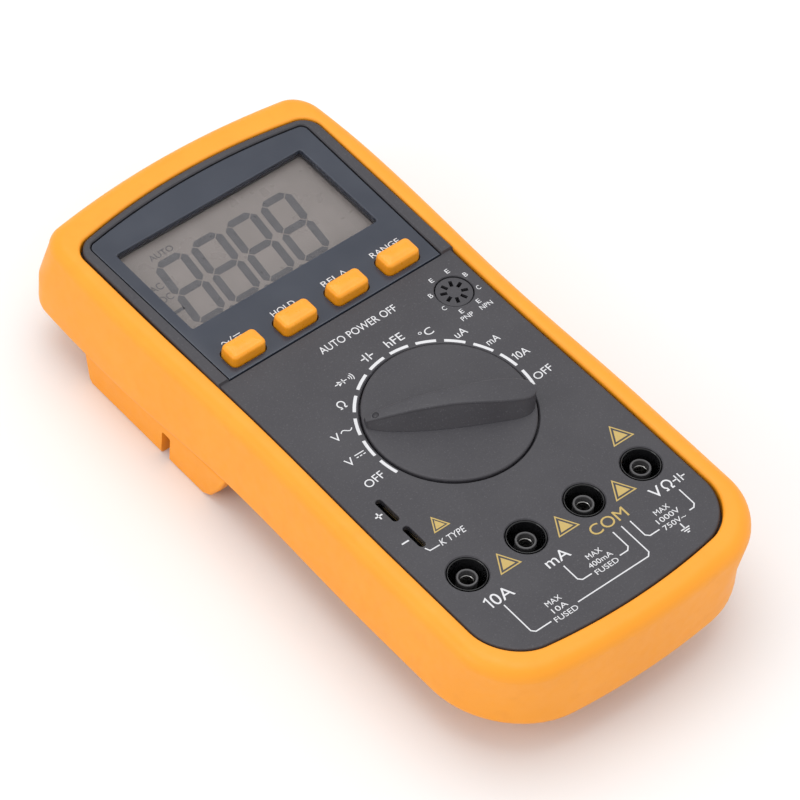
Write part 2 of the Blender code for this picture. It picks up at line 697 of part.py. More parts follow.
def build_selector():
    profile = [(13.2, 26.9), (13.2, 32.9), (DIAL_R, 32.9), (DIAL_R, FACE_Z + 0.1), (DIAL_R - 0.6, FACE_Z + 0.6)]
    knob = turned("selector_knob", DIAL, profile, "panel_plastic", 56)
    join(knob, build_grip())
    rotor = turned("selector_rotor", DIAL, [(19.6, 24.2), (19.6, 26.5)], "white_plastic", 32)
    cut(rotor, turned("rotor_bore", DIAL, [(1.9, 20.0), (1.9, 30.0)], "steel", 16))
    cut(knob, turned("knob_bore", DIAL, [(1.9, 20.0), (1.9, 31.0)], "steel", 16))
    head = [(2.6, 22.2), (2.6, 23.8), (1.5, 23.8), (1.5, 30.4)]
    screw = turned("rotor_screw", DIAL, head, "steel", 16)
    moving = [knob, rotor, screw]
    for index in (0, 1):
        angle = math.radians(POINTER_DEG + 90 + 180 * index)
        moving += build_detent(index + 1, knob, angle)
    for index in range(3):
        moving.append(build_wiper(index + 1, math.radians(POINTER_DEG + 120 * index)))
    hang_on("selector_pivot", (*DIAL, FACE_Z), moving)


def build_detent(number, knob, angle):
    """A sprung ball in the knob's hub, which clicks from notch to notch of the ring around it."""
    way = Vector((math.cos(angle), math.sin(angle), 0.0))
    hub = Vector((*DIAL, 29.2))
    bore = rod(f"detent_bore_{number}", hub + way * 7.5, hub + way * 16.0, 1.9, "steel", 16)
    cut(knob, bore)
    ball = bmesh.new()
    bmesh.ops.create_icosphere(ball, subdivisions=2, radius=1.5)
    bmesh.ops.translate(ball, vec=hub + way * 13.3, verts=ball.verts)
    made = solid(f"detent_ball_{number}", ball, "steel")
    across = Vector((-way.y, way.x, 0.0))
    turns = 3
    per_turn = 7
    points = []
    for k in range(turns * per_turn + 1):
        a = math.tau * k / per_turn
        step = 8.2 + 3.0 * k / (turns * per_turn)
        points.append(hub + way * step + across * (1.15 * math.cos(a)) + Vector((0, 0, 1.15 * math.sin(a))))
    return [made, wire(f"detent_spring_{number}", points, 0.2, "steel", 0)]


def build_wiper(number, angle):
    """A brass blade under the rotor that bridges two rings of tracks on the board."""
    rings = []
    for radius, z in ((9.0, 23.5), (15.5, 23.5), (15.5, 23.85), (9.0, 23.85)):
        spread = (-0.16, -0.08, 0.0, 0.08, 0.16)
        rings.append(
            [
                (DIAL[0] + radius * math.cos(angle + a), DIAL[1] + radius * math.sin(angle + a), z)
                for a in spread
            ]
        )
    sections = [list(section) for section in zip(*rings)]
    return loft(f"wiper_contact_{number}", sections, "brass")


# Jacks and sockets


def build_jacks():
    for name, x in JACK_X.items():
        place = (x, JACK_Y)
        shell = [(4.6, 17.4), (4.6, FACE_Z), (JACK_R, FACE_Z), (JACK_R, 16.2), (2.0, 16.2), (2.0, 17.4)]
        turned(f"jack_housing_{name}", place, shell, "black_plastic", 28, ring_shaped=True)
        sleeve = [(2.0, 18.9), (2.0, FACE_Z - 1.5), (2.7, FACE_Z - 1.5), (2.7, 17.8), (0.9, 17.8), (0.9, 18.9)]
        turned(f"jack_sleeve_{name}", place, sleeve, "steel", 16, ring_shaped=True)


def build_transistor_socket():
    profile = [(4.0, 26.0), (4.0, 33.0), (4.85, 33.0), (4.85, FACE_Z - 0.3), (4.6, FACE_Z)]
    socket = turned("transistor_socket", TRANSISTOR, profile, "black_plastic", 32)
    for index in range(8):
        angle = math.radians(22.5 + 45 * index)
        shape = bmesh.new()
        bmesh.ops.create_cube(shape, size=1.0)
        bmesh.ops.scale(shape, vec=(1.8, 1.0, 8.0), verts=shape.verts)
        bmesh.ops.translate(shape, vec=(2.9, 0.0, 34.0), verts=shape.verts)
        spin = Matrix.Translation((*TRANSISTOR, 0.0)) @ Matrix.Rotation(angle, 4, "Z")
        bmesh.ops.transform(shape, matrix=spin, verts=shape.verts)
        cut(socket, solid(f"transistor_slot_{index}", shape, "black_plastic"))


def build_thermocouple_socket():
    body = block("thermocouple_socket", (-34.2, -27.3), (-47.2, -25.6), (24.4, 33.05), "black_plastic")
    for name, limits in THERMO_SLOTS.items():
        x = (THERMO_X - 1.0, THERMO_X + 1.0)
        cut(body, block(f"socket_slot_{name}", x, limits, (25.4, 36.0), "black_plastic"))
        contact = (THERMO_X + 0.2, THERMO_X + 0.6)
        block(f"thermocouple_contact_{name}", contact, (limits[0] + 0.6, limits[1] - 0.6), (25.8, 32.0), "brass")


# Board and what it carries


def build_board():
    plan = dict(CASE_PLAN, half=38.9, low=-88.1, high=87.4, low_r=11.4, high_r=4.0)
    rings = [plan_ring(plan, BOARD_Z - BOARD_THICK), plan_ring(plan, BOARD_Z)]
    board = loft("main_board", rings, "board")
    for name, x in JACK_X.items():
        cut(board, turned(f"board_jack_{name}", (x, JACK_Y), [(JACK_R + 0.5, 18.0), (JACK_R + 0.5, 26.0)], "board", 16))
    for index, place in enumerate(CASE_SCREWS):
        cut(board, turned(f"board_post_{index}", place, [(3.7, 18.0), (3.7, 26.0)], "board", 12))
    cut(board, turned("board_pivot", DIAL, [(3.2, 18.0), (3.2, 26.0)], "board", 16))
    above = BOARD_Z + GAP
    block("converter_chip", (-7.0, 7.0), (7.5, 21.5), (above, above + 2.2), "black_plastic", 0.4, 1)
    arch = [(-4.0 + 14.0 * k / 12, -45.2, above + 1.2 + 3.6 * math.sin(math.pi * k / 12)) for k in range(13)]
    wire("current_shunt", arch, 0.8, "steel", 1)
    turned("buzzer", (24.0, -18.0), [(11.0, 16.2), (11.0, 18.6)], "brass", 24)
    block("range_capacitor", (-28.0, -22.0), (8.0, 20.0), (above, above + 6.0), "white_plastic", 0.6, 1)


def build_fuses():
    under = BOARD_Z - BOARD_THICK - GAP
    middle = 44.0
    z = 14.6
    number = 1
    for name, x, radius, length in (("fuse_10a", 19.4, 3.1, 32.0), ("fuse_ma", -19.4, 2.55, 20.0)):
        profile = [(radius, 0.0), (radius, 5.0), (radius - 0.35, 5.4)]
        profile += [(r, length - z_up) for r, z_up in profile[::-1]]
        fuse = turned(name, (0.0, 0.0), profile, "fuse_glass", 16)
        fuse.rotation_euler.x = math.radians(-90)
        fuse.location = (x * MM, (middle - length / 2) * MM, z * MM)
        for side in (-1, 1):
            y = middle + side * (length / 2 - 2.5)
            clip = block(f"fuse_clip_{number}", (x - 4.6, x + 4.6), (y - 2, y + 2), (z - 3.0, under), "brass")
            slot = block(
                f"fuse_clip_slot_{number}", (x - 4.0, x + 4.0), (y - 5, y + 5), (z - 9.0, under - 0.7), "brass"
            )
            cut(clip, slot)
            number += 1


def build_battery():
    x = 13.2
    battery = block("battery", (-x, x), (19.9, 68.3), (3.1, 20.6), "battery_jacket", 1.2)
    for side in (-1, 1):
        post = rod(f"battery_post_{side}", (side * 6.3, 67.0, 11.8), (side * 6.3, 70.6, 11.8), 2.8, "steel", 16)
        join(battery, post)
    block("battery_connector", (-12.0, 12.0), (71.0, 72.3), (5.0, 19.0), "black_plastic")
    door_x = HUMP_X - 1.8 - GAP
    door_y = (HUMP_Y[0] + 1.8 + GAP, HUMP_Y[1] - 1.8 - GAP)
    door = block("battery_door", (-door_x, door_x), door_y, (0.7, 2.3), "panel_plastic")
    cut(door, turned("door_screw_seat", DOOR_SCREW, [(2.2, -1.0), (2.2, 1.5)], "panel_plastic", 20))
    cut(door, turned("door_screw_hole", DOOR_SCREW, [(1.6, 0.0), (1.6, 4.0)], "panel_plastic", 16))
    shank = [(1.85, 0.75), (1.85, 1.2), (1.1, 1.2), (1.1, 8.0)]
    turned("battery_door_screw", DOOR_SCREW, shank, "steel", 16)


def build_case_screws():
    for number, place in enumerate(CASE_SCREWS, 1):
        screw = turned(
            f"case_screw_{number}", place, [(2.8, 14.0), (2.8, 15.2), (1.4, 15.2), (1.4, 29.4)], "steel", 16
        )
        for index, size in enumerate(((3.2, 0.7), (0.7, 3.2))):
            x = (place[0] - size[0] / 2, place[0] + size[0] / 2)
            y = (place[1] - size[1] / 2, place[1] + size[1] / 2)
            cut(screw, block(f"case_screw_cross_{number}_{index}", x, y, (13.0, 14.6), "steel"))


def main():
    clear_scene()
    build_holster()
    build_stand()
    build_front_case()
    build_rear_case()
    build_display()
    build_buttons()
    build_selector()
    build_jacks()
    build_transistor_socket()
    build_thermocouple_socket()
    build_board()
    build_fuses()
    build_battery()
    build_case_screws()


main()
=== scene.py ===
"""Looks of a handheld digital multimeter in its rubber holster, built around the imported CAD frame.

Shapes are laid out in millimetres in the frame's axes: +Y points from the jacks to the display and
+Z out of the face. Each becomes metres when its mesh is made. Places come from the CAD nodes' boxes.
"""

import json
import math

import bmesh
import bpy
from mathutils import Matrix, Vector
from mathutils.geometry import interpolate_bezier


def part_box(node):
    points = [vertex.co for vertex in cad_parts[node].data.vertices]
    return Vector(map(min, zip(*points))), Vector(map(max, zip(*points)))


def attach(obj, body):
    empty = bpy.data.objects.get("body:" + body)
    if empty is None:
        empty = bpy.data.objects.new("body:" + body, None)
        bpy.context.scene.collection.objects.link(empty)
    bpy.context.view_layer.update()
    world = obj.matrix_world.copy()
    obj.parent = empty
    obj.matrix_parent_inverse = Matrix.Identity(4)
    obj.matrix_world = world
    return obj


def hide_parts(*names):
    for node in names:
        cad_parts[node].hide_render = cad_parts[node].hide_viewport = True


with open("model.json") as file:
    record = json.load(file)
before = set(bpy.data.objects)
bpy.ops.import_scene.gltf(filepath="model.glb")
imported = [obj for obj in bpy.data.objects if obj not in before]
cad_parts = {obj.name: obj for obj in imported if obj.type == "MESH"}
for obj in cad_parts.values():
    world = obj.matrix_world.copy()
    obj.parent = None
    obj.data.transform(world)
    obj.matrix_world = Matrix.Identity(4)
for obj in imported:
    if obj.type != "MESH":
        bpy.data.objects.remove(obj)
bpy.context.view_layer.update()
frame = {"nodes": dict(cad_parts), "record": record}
MM = 0.001


def low(node):
    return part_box(node)[0] / MM


def high(node):
    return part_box(node)[1] / MM


def middle(node):
    return (low(node) + high(node)) / 2


# Heights and places read from the frame
FACE_Z = high("jack_housing_10a").z
LIP_Z = FACE_Z + 0.7
LIP_UNDER_Z = FACE_Z - 3.2
SHOULDER_Z = FACE_Z - 3.5
RIM_Z = FACE_Z + 0.8
FASCIA_Z = high("display_fascia").z
POCKET_Z = FASCIA_Z - 1.8
PARTING_Z = 22.0
LCD_Z = high("lcd_glass").z
HOLSTER_BACK_Z = 11.0
HOLSTER_FLOOR_Z = 13.5
DIAL = middle("selector_rotor").xy
DIAL_R = 22.25
DIAL_HOLE_R = 22.62
POINTER = math.radians(153.94)
JACKS = {name: middle(f"jack_housing_{name}").xy for name in ("10a", "ma", "com", "volt")}
BUTTONS = ("button_mode", "button_hold", "button_relative", "button_range")
TRANSISTOR = middle("transistor_socket").xy
WINDOW_X = (low("display_window").x - 0.35, high("display_window").x + 0.35)
WINDOW_Y = (low("display_window").y - 0.35, high("display_window").y + 0.35)
STEP_Y = 24.3
GAP = 0.35

# Nested outlines of the holster, the panel and the case
HOLSTER_BOWS = dict(low_bow=5.0, high_bow=4.4, waist=1.0)
CASE_BOWS = dict(low_bow=4.4, high_bow=4.4, waist=0.6)
FOOT_PLAN = dict(HOLSTER_BOWS, half=46.0, low=-96.4, high=96.4, low_r=23.0, high_r=7.0)
HOLSTER_PLAN = dict(HOLSTER_BOWS, half=45.1, low=-96.2, high=95.4, low_r=16.0, high_r=7.0)
PANEL_PLAN = dict(CASE_BOWS, half=38.65, low=-88.6, high=86.4, low_r=12.0, high_r=4.5)
CASE_PLAN = dict(CASE_BOWS, half=41.5, low=-90.7, high=90.0, low_r=14.0, high_r=6.5)
WAIST_Y = 6.6
WAIST_SPAN = 50.0
HOLSTER_ROUND = 4.0
HOLSTER_TAPER = 0.8
TAPER_FROM_Y = 60.0
TAPER_SPAN = 20.0
FLARE = 0.9
FLARE_FROM_Y = 12.0
FLARE_SPAN = 44.0
RAIL_X = (30.0, 44.4)
RAIL_GROOVE_X = 37.2
RAIL_NOTCH_Y = (35.3, 38.6)
STAND_X = 24.0
STAND_PIVOT = (6.2, 4.6)
STAND_BARREL_R = 4.4
HINGE_HOLE_R = 1.85
HUMP_X = 28.6
HUMP_Y = (12.6, 76.0)

# Button caps: half width and depth, corner, and the flange that keeps a cap in
CAP_HALF = (5.45, 3.15)
CAP_CORNER = 1.6
FLANGE_HALF = (6.5, 4.2)
FLANGE_CORNER = 0.5

# How far a hole's cutter reaches into the wall and out of it
CUT_DEPTH = 8.0
CUT_CLEAR = 2.0

FLOOR_HALF = 3000.0
PRINT_LIFT = 0.04
# Reach of the painted edge highlight, in millimetres
EDGE_HIGHLIGHT_REACH = 0.3


# Meshes


def place_new(name, data):
    made = bpy.data.objects.new(name, data)
    bpy.context.scene.collection.objects.link(made)
    return made


def solid(name, shape):
    """An object from a bmesh in millimetres, which it frees."""
    bmesh.ops.recalc_face_normals(shape, faces=shape.faces)
    bmesh.ops.scale(shape, vec=(MM, MM, MM), verts=shape.verts)
    mesh = bpy.data.meshes.new(name)
    shape.to_mesh(mesh)
    shape.free()
    return place_new(name, mesh)


def circle_turns(steps):
    return [math.tau * k / steps for k in range(steps)]


def span(shape, rings, ring_shaped=False):
    """Adds rings of points joined in turn. The ends are capped, or joined to each other if ring_shaped."""
    rows = [[shape.verts.new(point) for point in ring] for ring in rings]
    if ring_shaped:
        pairs = zip(rows, rows[1:] + rows[:1])
    else:
        pairs = zip(rows, rows[1:])
        shape.faces.new(rows[0][::-1])
        shape.faces.new(rows[-1])
    for lower, upper in pairs:
        for i, corner in enumerate(lower):
            j = (i + 1) % len(lower)
            shape.faces.new((corner, lower[j], upper[j], upper[i]))


def loft(name, rings, ring_shaped=False):
    shape = bmesh.new()
    span(shape, rings, ring_shaped)
    return solid(name, shape)


def turned(name, centre, profile, sides=64, ring_shaped=False):
    """A profile of (radius, height) turned about the vertical line through centre."""
    turns = circle_turns(sides)
    x = centre[0]
    y = centre[1]
    rings = [[(x + r * math.cos(a), y + r * math.sin(a), z) for a in turns] for r, z in profile]
    return loft(name, rings, ring_shaped)


def round_edges(shape, edges, radius, segments):
    bmesh.ops.bevel(shape, geom=edges, offset=radius, segments=segments, affect="EDGES", profile=0.5)


def block(name, x, y, z, bevel=0.0, segments=3):
    """A box between the limits x, y and z, with all its edges rounded by bevel."""
    shape = bmesh.new()
    bmesh.ops.create_cube(shape, size=1.0)
    bmesh.ops.scale(shape, vec=(x[1] - x[0], y[1] - y[0], z[1] - z[0]), verts=shape.verts)
    bmesh.ops.translate(shape, vec=(sum(x) / 2, sum(y) / 2, sum(z) / 2), verts=shape.verts)
    if bevel:
        round_edges(shape, shape.edges, bevel, segments)
    return solid(name, shape)


def rounded_rectangle(centre, half_x, half_y, corner, height, steps=6):
    ring = []
    for quadrant, (sx, sy) in enumerate(((1, 1), (-1, 1), (-1, -1), (1, -1))):
        for k in range(steps + 1):
            angle = math.radians(90 * (quadrant + k / steps))
            x = centre[0] + sx * (half_x - corner) + corner * math.cos(angle)
            y = centre[1] + sy * (half_y - corner) + corner * math.sin(angle)
            ring.append((x, y, height))
    return ring


def rounded_hole(name, x, y, corner, z, flare=0.25):
    """A cutter for an opening with round corners, with a small chamfer at its mouth at the height z."""
    centre = (sum(x) / 2, sum(y) / 2)
    half = ((x[1] - x[0]) / 2, (y[1] - y[0]) / 2)
    levels = ((0.0, z - CUT_DEPTH), (0.0, z - flare), (flare, z), (flare + CUT_CLEAR, z + CUT_CLEAR))
    rings = []
    for out, height in levels:
        rings.append(rounded_rectangle(centre, half[0] + out, half[1] + out, corner + out, height))
    return loft(name, rings)


def round_hole(name, centre, radius, z, depth=CUT_DEPTH, flare=0.25, sides=64):
    """A cutter for a round opening, with a small chamfer at its mouth at the height z."""
    mouth = radius + flare
    profile = [(radius, z - depth), (radius, z - flare), (mouth, z), (mouth + CUT_CLEAR, z + CUT_CLEAR)]
    return turned(name, centre, profile, sides)


def rod(name, start, end, radius, sides=40):
    """A straight round bar from start to end."""
    start = Vector(start)
    end = Vector(end)
    turn = (end - start).to_track_quat("Z", "Y").to_matrix().to_4x4()
    shape = bmesh.new()
    bmesh.ops.create_cone(
        shape, cap_ends=True, segments=sides, radius1=radius, radius2=radius, depth=(end - start).length
    )
    bmesh.ops.transform(shape, matrix=Matrix.Translation((start + end) / 2) @ turn, verts=shape.verts)
    return solid(name, shape)


def along_x(name, profile, x, bevel=0.0):
    """A profile of (y, z) points, as a prism between the limits x, with its edges rounded by bevel."""
    shape = bmesh.new()
    span(shape, [[(level, y, z) for y, z in profile] for level in x])
    if bevel:
        ends = [edge for edge in shape.edges if len({round(v.co.x, 3) for v in edge.verts}) == 1]
        round_edges(shape, ends, bevel, 4)
    return solid(name, shape)


def carve(target, operation, tools):
    """Joins the tools to target, or cuts them from it, for good. The tools are used up."""
    for tool in tools:
        step = target.modifiers.new(tool.name, "BOOLEAN")
        step.operation = operation
        step.solver = "EXACT"
        step.object = tool
    bpy.context.view_layer.update()
    seen = target.evaluated_get(bpy.context.evaluated_depsgraph_get())
    made = bpy.data.meshes.new_from_object(seen)
    target.modifiers.clear()
    target.data = made
    for tool in tools:
        bpy.data.objects.remove(tool, do_unlink=True)


def cut(target, *tools):
    carve(target, "DIFFERENCE", tools)


def join(target, *tools):
    carve(target, "UNION", tools)


def dress(made, material, body, stands_for=(), angle=32):
    """Gives a piece its material, its shading and its body, and hides the CAD nodes that it stands for."""
    made.data.materials.clear()
    made.data.materials.append(material)
    made.data.shade_smooth()
    made.data.set_sharp_from_angle(angle=math.radians(angle))
    normals = made.modifiers.new("weighted_normals", "WEIGHTED_NORMAL")
    normals.keep_sharp = True
    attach(made, body)
    if stands_for:
        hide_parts(*stands_for)


# Outlines shared by the holster, the panel and the case


def side_x(y, half, waist, taper=0.0, flare=0.0):
    """How far the side stands from the centre line: in at the waist and the upper end, out by the flare."""
    away = min(abs(y - WAIST_Y) / WAIST_SPAN, 1.0)
    upper = max(y - TAPER_FROM_Y, 0.0) / TAPER_SPAN
    spread = min(max((y - FLARE_FROM_Y) / FLARE_SPAN, 0.0), 1.0)
    out = flare * (0.5 - 0.5 * math.cos(math.pi * spread))
    return half - waist * (0.5 + 0.5 * math.cos(math.pi * away)) - taper * upper**2 + out


def rounded_corner(start, start_way, end, end_way, radius):
    """Points of a corner between two edges, without its first and last."""
    reach = 0.5523 * radius
    first = Vector((*start, 0.0))
    last = Vector((*end, 0.0))
    leave = first + Vector((*start_way, 0.0)).normalized() * reach
    arrive = last - Vector((*end_way, 0.0)).normalized() * reach
    points = interpolate_bezier(first, leave, arrive, last, 16)
    return [(point.x, point.y) for point in points[1:-1]]


def plan_ring(plan, z, inset=0.0, taper=0.0, flare=0.0):
    """The closed outline of a plan at height z, anticlockwise, set in by inset."""
    half = plan["half"] - inset
    low_end_y = plan["low"] + inset
    high_end_y = plan["high"] - inset
    low_r = max(plan["low_r"] - inset, 1.5)
    high_r = max(plan["high_r"] - inset, 1.5)
    low_end = half - low_r

    def side(y):
        return side_x(y, half, plan["waist"], taper, flare)

    def low_y(x):
        return low_end_y + plan["low_bow"] * (x / half) ** 2

    def high_y(x):
        return high_end_y - plan["high_bow"] * (x / half) ** 2

    side_low = low_y(half) + low_r
    side_high = high_y(half) - high_r
    high_end = side(side_high) - high_r
    ends = 10
    right = [(low_end * k / ends, low_y(low_end * k / ends)) for k in range(ends + 1)]
    foot = (side(side_low), side_low)
    low_slope = 2 * plan["low_bow"] * low_end / half**2
    right += rounded_corner(right[-1], (1.0, low_slope), foot, (0.0, 1.0), low_r)
    steps = 28
    for k in range(steps + 1):
        y = side_low + (side_high - side_low) * k / steps
        right.append((side(y), y))
    head = (high_end, high_y(high_end))
    high_slope = 2 * plan["high_bow"] * high_end / half**2
    lean = side(side_high) - side(side_high - 1.0)
    right += rounded_corner(right[-1], (lean, 1.0), head, (-1.0, high_slope), high_r)
    right += [(high_end * (ends - k) / ends, high_y(high_end * (ends - k) / ends)) for k in range(ends + 1)]
    left = [(-x, y) for x, y in right[-2:0:-1]]
    return [(x, y, z) for x, y in right + left]


def round_under(plan, z, radius, taper=0.0, flare=0.0, steps=7):
    """Rings of a rounded lower edge, from the flat underside out to the wall."""
    rings = []
    for k in range(steps + 1):
        angle = math.radians(90 * k / steps)
        height = z + radius * (1 - math.cos(angle))
        rings.append(plan_ring(plan, height, radius * (1 - math.sin(angle)), taper, flare))
    return rings


def round_over(plan, z, radius, taper=0.0, steps=8):
    """Rings of a rounded upper edge, from the wall in to the flat top."""
    rings = []
    for k in range(steps + 1):
        angle = math.radians(90 * k / steps)
        height = z - radius * (1 - math.sin(angle))
        rings.append(plan_ring(plan, height, radius * (1 - math.cos(angle)), taper))
    return rings


# Materials


class Finish:
    """A node material built up in steps. Grain sizes and depths are in millimetres."""

    def __init__(self, name, color, roughness, metallic=0.0):
        self.material = bpy.data.materials.new(name)
        self.material.use_nodes = True
        self.tree = self.material.node_tree
        self.shader = self.tree.nodes["Principled BSDF"]
        self.shader.inputs["Metallic"].default_value = metallic
        self.roughness = roughness
        self.color = self.rgb(color)
        self.normal = None
        self.place = self.tree.nodes.new("ShaderNodeTexCoord").outputs["Object"]

    def rgb(self, color):
        node = self.tree.nodes.new("ShaderNodeRGB")
        node.outputs[0].default_value = (*color, 1.0)
        return node.outputs[0]

    def noise(self, size, detail=2.0, stretch=(1.0, 1.0, 1.0)):
        """Noise whose blobs are about size across, drawn out along an axis by stretch."""
        mapping = self.tree.nodes.new("ShaderNodeMapping")
        mapping.inputs["Scale"].default_value = [1.0 / s for s in stretch]
        self.tree.links.new(self.place, mapping.inputs["Vector"])
        node = self.tree.nodes.new("ShaderNodeTexNoise")
        node.inputs["Scale"].default_value = 1.0 / (size * MM)
        node.inputs["Detail"].default_value = detail
        self.tree.links.new(mapping.outputs[0], node.inputs["Vector"])
        return node.outputs["Fac"]

    def spread(self, value, low_in, high_in, low_out=0.0, high_out=1.0):
        node = self.tree.nodes.new("ShaderNodeMapRange")
        for socket, number in zip(node.inputs[1:5], (low_in, high_in, low_out, high_out)):
            socket.default_value = number
        self.tree.links.new(value, node.inputs["Value"])
        return node.outputs[0]

    def tint(self, color, share):
        """Mixes another colour in, by the share that a value socket gives."""
        mix = self.tree.nodes.new("ShaderNodeMix")
        mix.data_type = "RGBA"
        self.tree.links.new(share, mix.inputs["Factor"])
        self.tree.links.new(self.color, mix.inputs["A"])
        self.tree.links.new(self.rgb(color), mix.inputs["B"])
        self.color = mix.outputs["Result"]
        return self

    def mottle(self, color, size, low_in=0.4, high_in=0.7, detail=3.0):
        return self.tint(color, self.spread(self.noise(size, detail), low_in, high_in))

    def painted_edge_highlight(self, color, amount):
        """Paints a highlight along the sharp edges, outer and inner, by lightening the colour near them."""
        # Painted highlight: the colour is lightened where the bevelled normal turns away from the true one
        rounded = self.tree.nodes.new("ShaderNodeBevel")
        rounded.inputs["Radius"].default_value = EDGE_HIGHLIGHT_REACH * MM
        rounded.samples = 4
        agree = self.tree.nodes.new("ShaderNodeVectorMath")
        agree.operation = "DOT_PRODUCT"
        self.tree.links.new(rounded.outputs[0], agree.inputs[0])
        self.tree.links.new(self.tree.nodes.new("ShaderNodeNewGeometry").outputs["Normal"], agree.inputs[1])
        return self.tint(color, self.spread(agree.outputs["Value"], 0.98, 0.80, 0.0, amount))

    def bump(self, height, depth):
        node = self.tree.nodes.new("ShaderNodeBump")
        node.inputs["Distance"].default_value = depth * MM
        self.tree.links.new(height, node.inputs["Height"])
        if self.normal:
            self.tree.links.new(self.normal, node.inputs["Normal"])
        self.normal = node.outputs["Normal"]
        return self

    def grain(self, size, depth, detail=2.0, stretch=(1.0, 1.0, 1.0)):
        return self.bump(self.noise(size, detail, stretch), depth)

    def uneven(self, size, amount):
        """Lets the roughness wander about its middle value."""
        wander = self.spread(self.noise(size), 0.3, 0.7, self.roughness - amount, self.roughness + amount)
        self.tree.links.new(wander, self.shader.inputs["Roughness"])
        return self

    def gloss(self, **sockets):
        for name, number in sockets.items():
            self.shader.inputs[name.replace("_", " ")].default_value = number
        return self

    def done(self):
        if not self.shader.inputs["Roughness"].links:
            self.shader.inputs["Roughness"].default_value = self.roughness
        self.tree.links.new(self.color, self.shader.inputs["Base Color"])
        if self.normal:
            self.tree.links.new(self.normal, self.shader.inputs["Normal"])
        return self.material


def holster_rubber():
    made = Finish("holster_rubber", (0.93, 0.335, 0.010), 0.47)
    made.mottle((0.96, 0.352, 0.014), 18.0).mottle((0.91, 0.322, 0.009), 5.0, 0.55, 0.8)
    # Painted highlight: lighter orange along the holster's edges
    made.painted_edge_highlight((1.0, 0.42, 0.05), 0.4)
    return made.grain(0.45, 0.012).grain(6.0, 0.006).uneven(3.0, 0.05).done()


def button_plastic():
    made = Finish("button_plastic", (0.93, 0.34, 0.010), 0.30)
    made.mottle((0.97, 0.37, 0.018), 4.0)
    # Painted highlight: pale orange along the caps' edges
    made.painted_edge_highlight((1.0, 0.5, 0.14), 0.4)
    return made.grain(0.35, 0.004).uneven(1.5, 0.04).done()


def panel_plastic():
    made = Finish("panel_plastic", (0.043, 0.041, 0.048), 0.42)
    made.mottle((0.050, 0.048, 0.055), 14.0).mottle((0.072, 0.069, 0.078), 0.45, 0.58, 0.72)
    # Painted highlight: lighter grey along the panel's edges
    made.painted_edge_highlight((0.10, 0.10, 0.11), 0.5)
    return made.grain(0.5, 0.03, 3.0).uneven(0.8, 0.07).gloss(Specular_IOR_Level=0.4).done()


def fascia_print():
    made = Finish("fascia_print", (0.030, 0.036, 0.053), 0.22)
    made.mottle((0.036, 0.043, 0.062), 22.0)
    # Painted highlight: pale blue-grey along the fascia's edges
    made.painted_edge_highlight((0.2, 0.22, 0.27), 0.5)
    return made.grain(0.9, 0.0015).uneven(9.0, 0.05).done()


def lcd_face():
    made = Finish("lcd_face", (0.225, 0.200, 0.190), 0.30)
    made.mottle((0.25, 0.222, 0.212), 12.0)
    streaks = made.spread(made.noise(0.22, 1.0, (1.0, 40.0, 1.0)), 0.45, 0.75, 0.0, 0.35)
    return made.tint((0.20, 0.18, 0.174), streaks).uneven(5.0, 0.04).done()


def lcd_segment():
    made = Finish("lcd_segment", (0.095, 0.092, 0.100), 0.30)
    return made.mottle((0.11, 0.107, 0.115), 3.0).uneven(2.0, 0.03).done()


def clear_window():
    made = Finish("clear_window", (0.02, 0.02, 0.022), 0.04)
    made.mottle((0.03, 0.03, 0.033), 20.0).uneven(15.0, 0.02)
    return made.gloss(Alpha=0.04, IOR=1.49).done()


def print_ink(name, color):
    made = Finish(name, color, 0.45)
    darker = tuple(0.86 * c for c in color)
    return made.mottle(darker, 0.5, 0.5, 0.8).grain(0.3, 0.006).uneven(0.8, 0.06).done()


def black_gloss():
    made = Finish("black_gloss", (0.008, 0.008, 0.009), 0.14)
    return made.mottle((0.014, 0.014, 0.015), 6.0).grain(1.6, 0.003).uneven(4.0, 0.04).done()


def metal(name, color, shade, roughness):
    """Turned or stamped metal with fine tool lines and a dull patch here and there."""
    made = Finish(name, color, roughness, 1.0)
    return made.mottle(shade, 3.0).grain(0.12, 0.004, 2.0, (9.0, 9.0, 1.0)).uneven(1.2, 0.08).done()


def circuit_board():
    made = Finish("circuit_board", (0.018, 0.16, 0.055), 0.35)
    made.mottle((0.03, 0.24, 0.09), 2.4, 0.49, 0.53, 1.0)
    return made.grain(0.6, 0.01).uneven(5.0, 0.06).done()


def moulded(name, color, shade, roughness):
    made = Finish(name, color, roughness)
    return made.mottle(shade, 7.0).grain(0.5, 0.012).uneven(2.5, 0.06).done()


def zebra_rubber():
    made = Finish("zebra_rubber", (0.30, 0.30, 0.32), 0.65)
    stripes = made.spread(made.noise(0.3, 0.0, (1.0, 60.0, 60.0)), 0.48, 0.52)
    return made.tint((0.06, 0.06, 0.06), stripes).grain(0.4, 0.01).done()


def fuse_body():
    made = Finish("fuse_body", (0.70, 0.72, 0.70), 0.12)
    return made.mottle((0.60, 0.62, 0.60), 3.0).uneven(3.0, 0.05).gloss(Coat_Weight=0.4).done()


def battery_jacket():
    made = Finish("battery_jacket", (0.03, 0.03, 0.036), 0.35)
    bands = made.spread(made.noise(16.0, 0.0, (60.0, 1.0, 60.0)), 0.5, 0.51)
    return made.tint((0.30, 0.17, 0.05), bands).grain(2.0, 0.01).uneven(5.0, 0.06).done()


def floor_paint():
    made = Finish("floor_paint", (0.88, 0.88, 0.88), 0.75)
    return made.mottle((0.86, 0.86, 0.865), 160.0).grain(2.0, 0.01).uneven(40.0, 0.04).done()


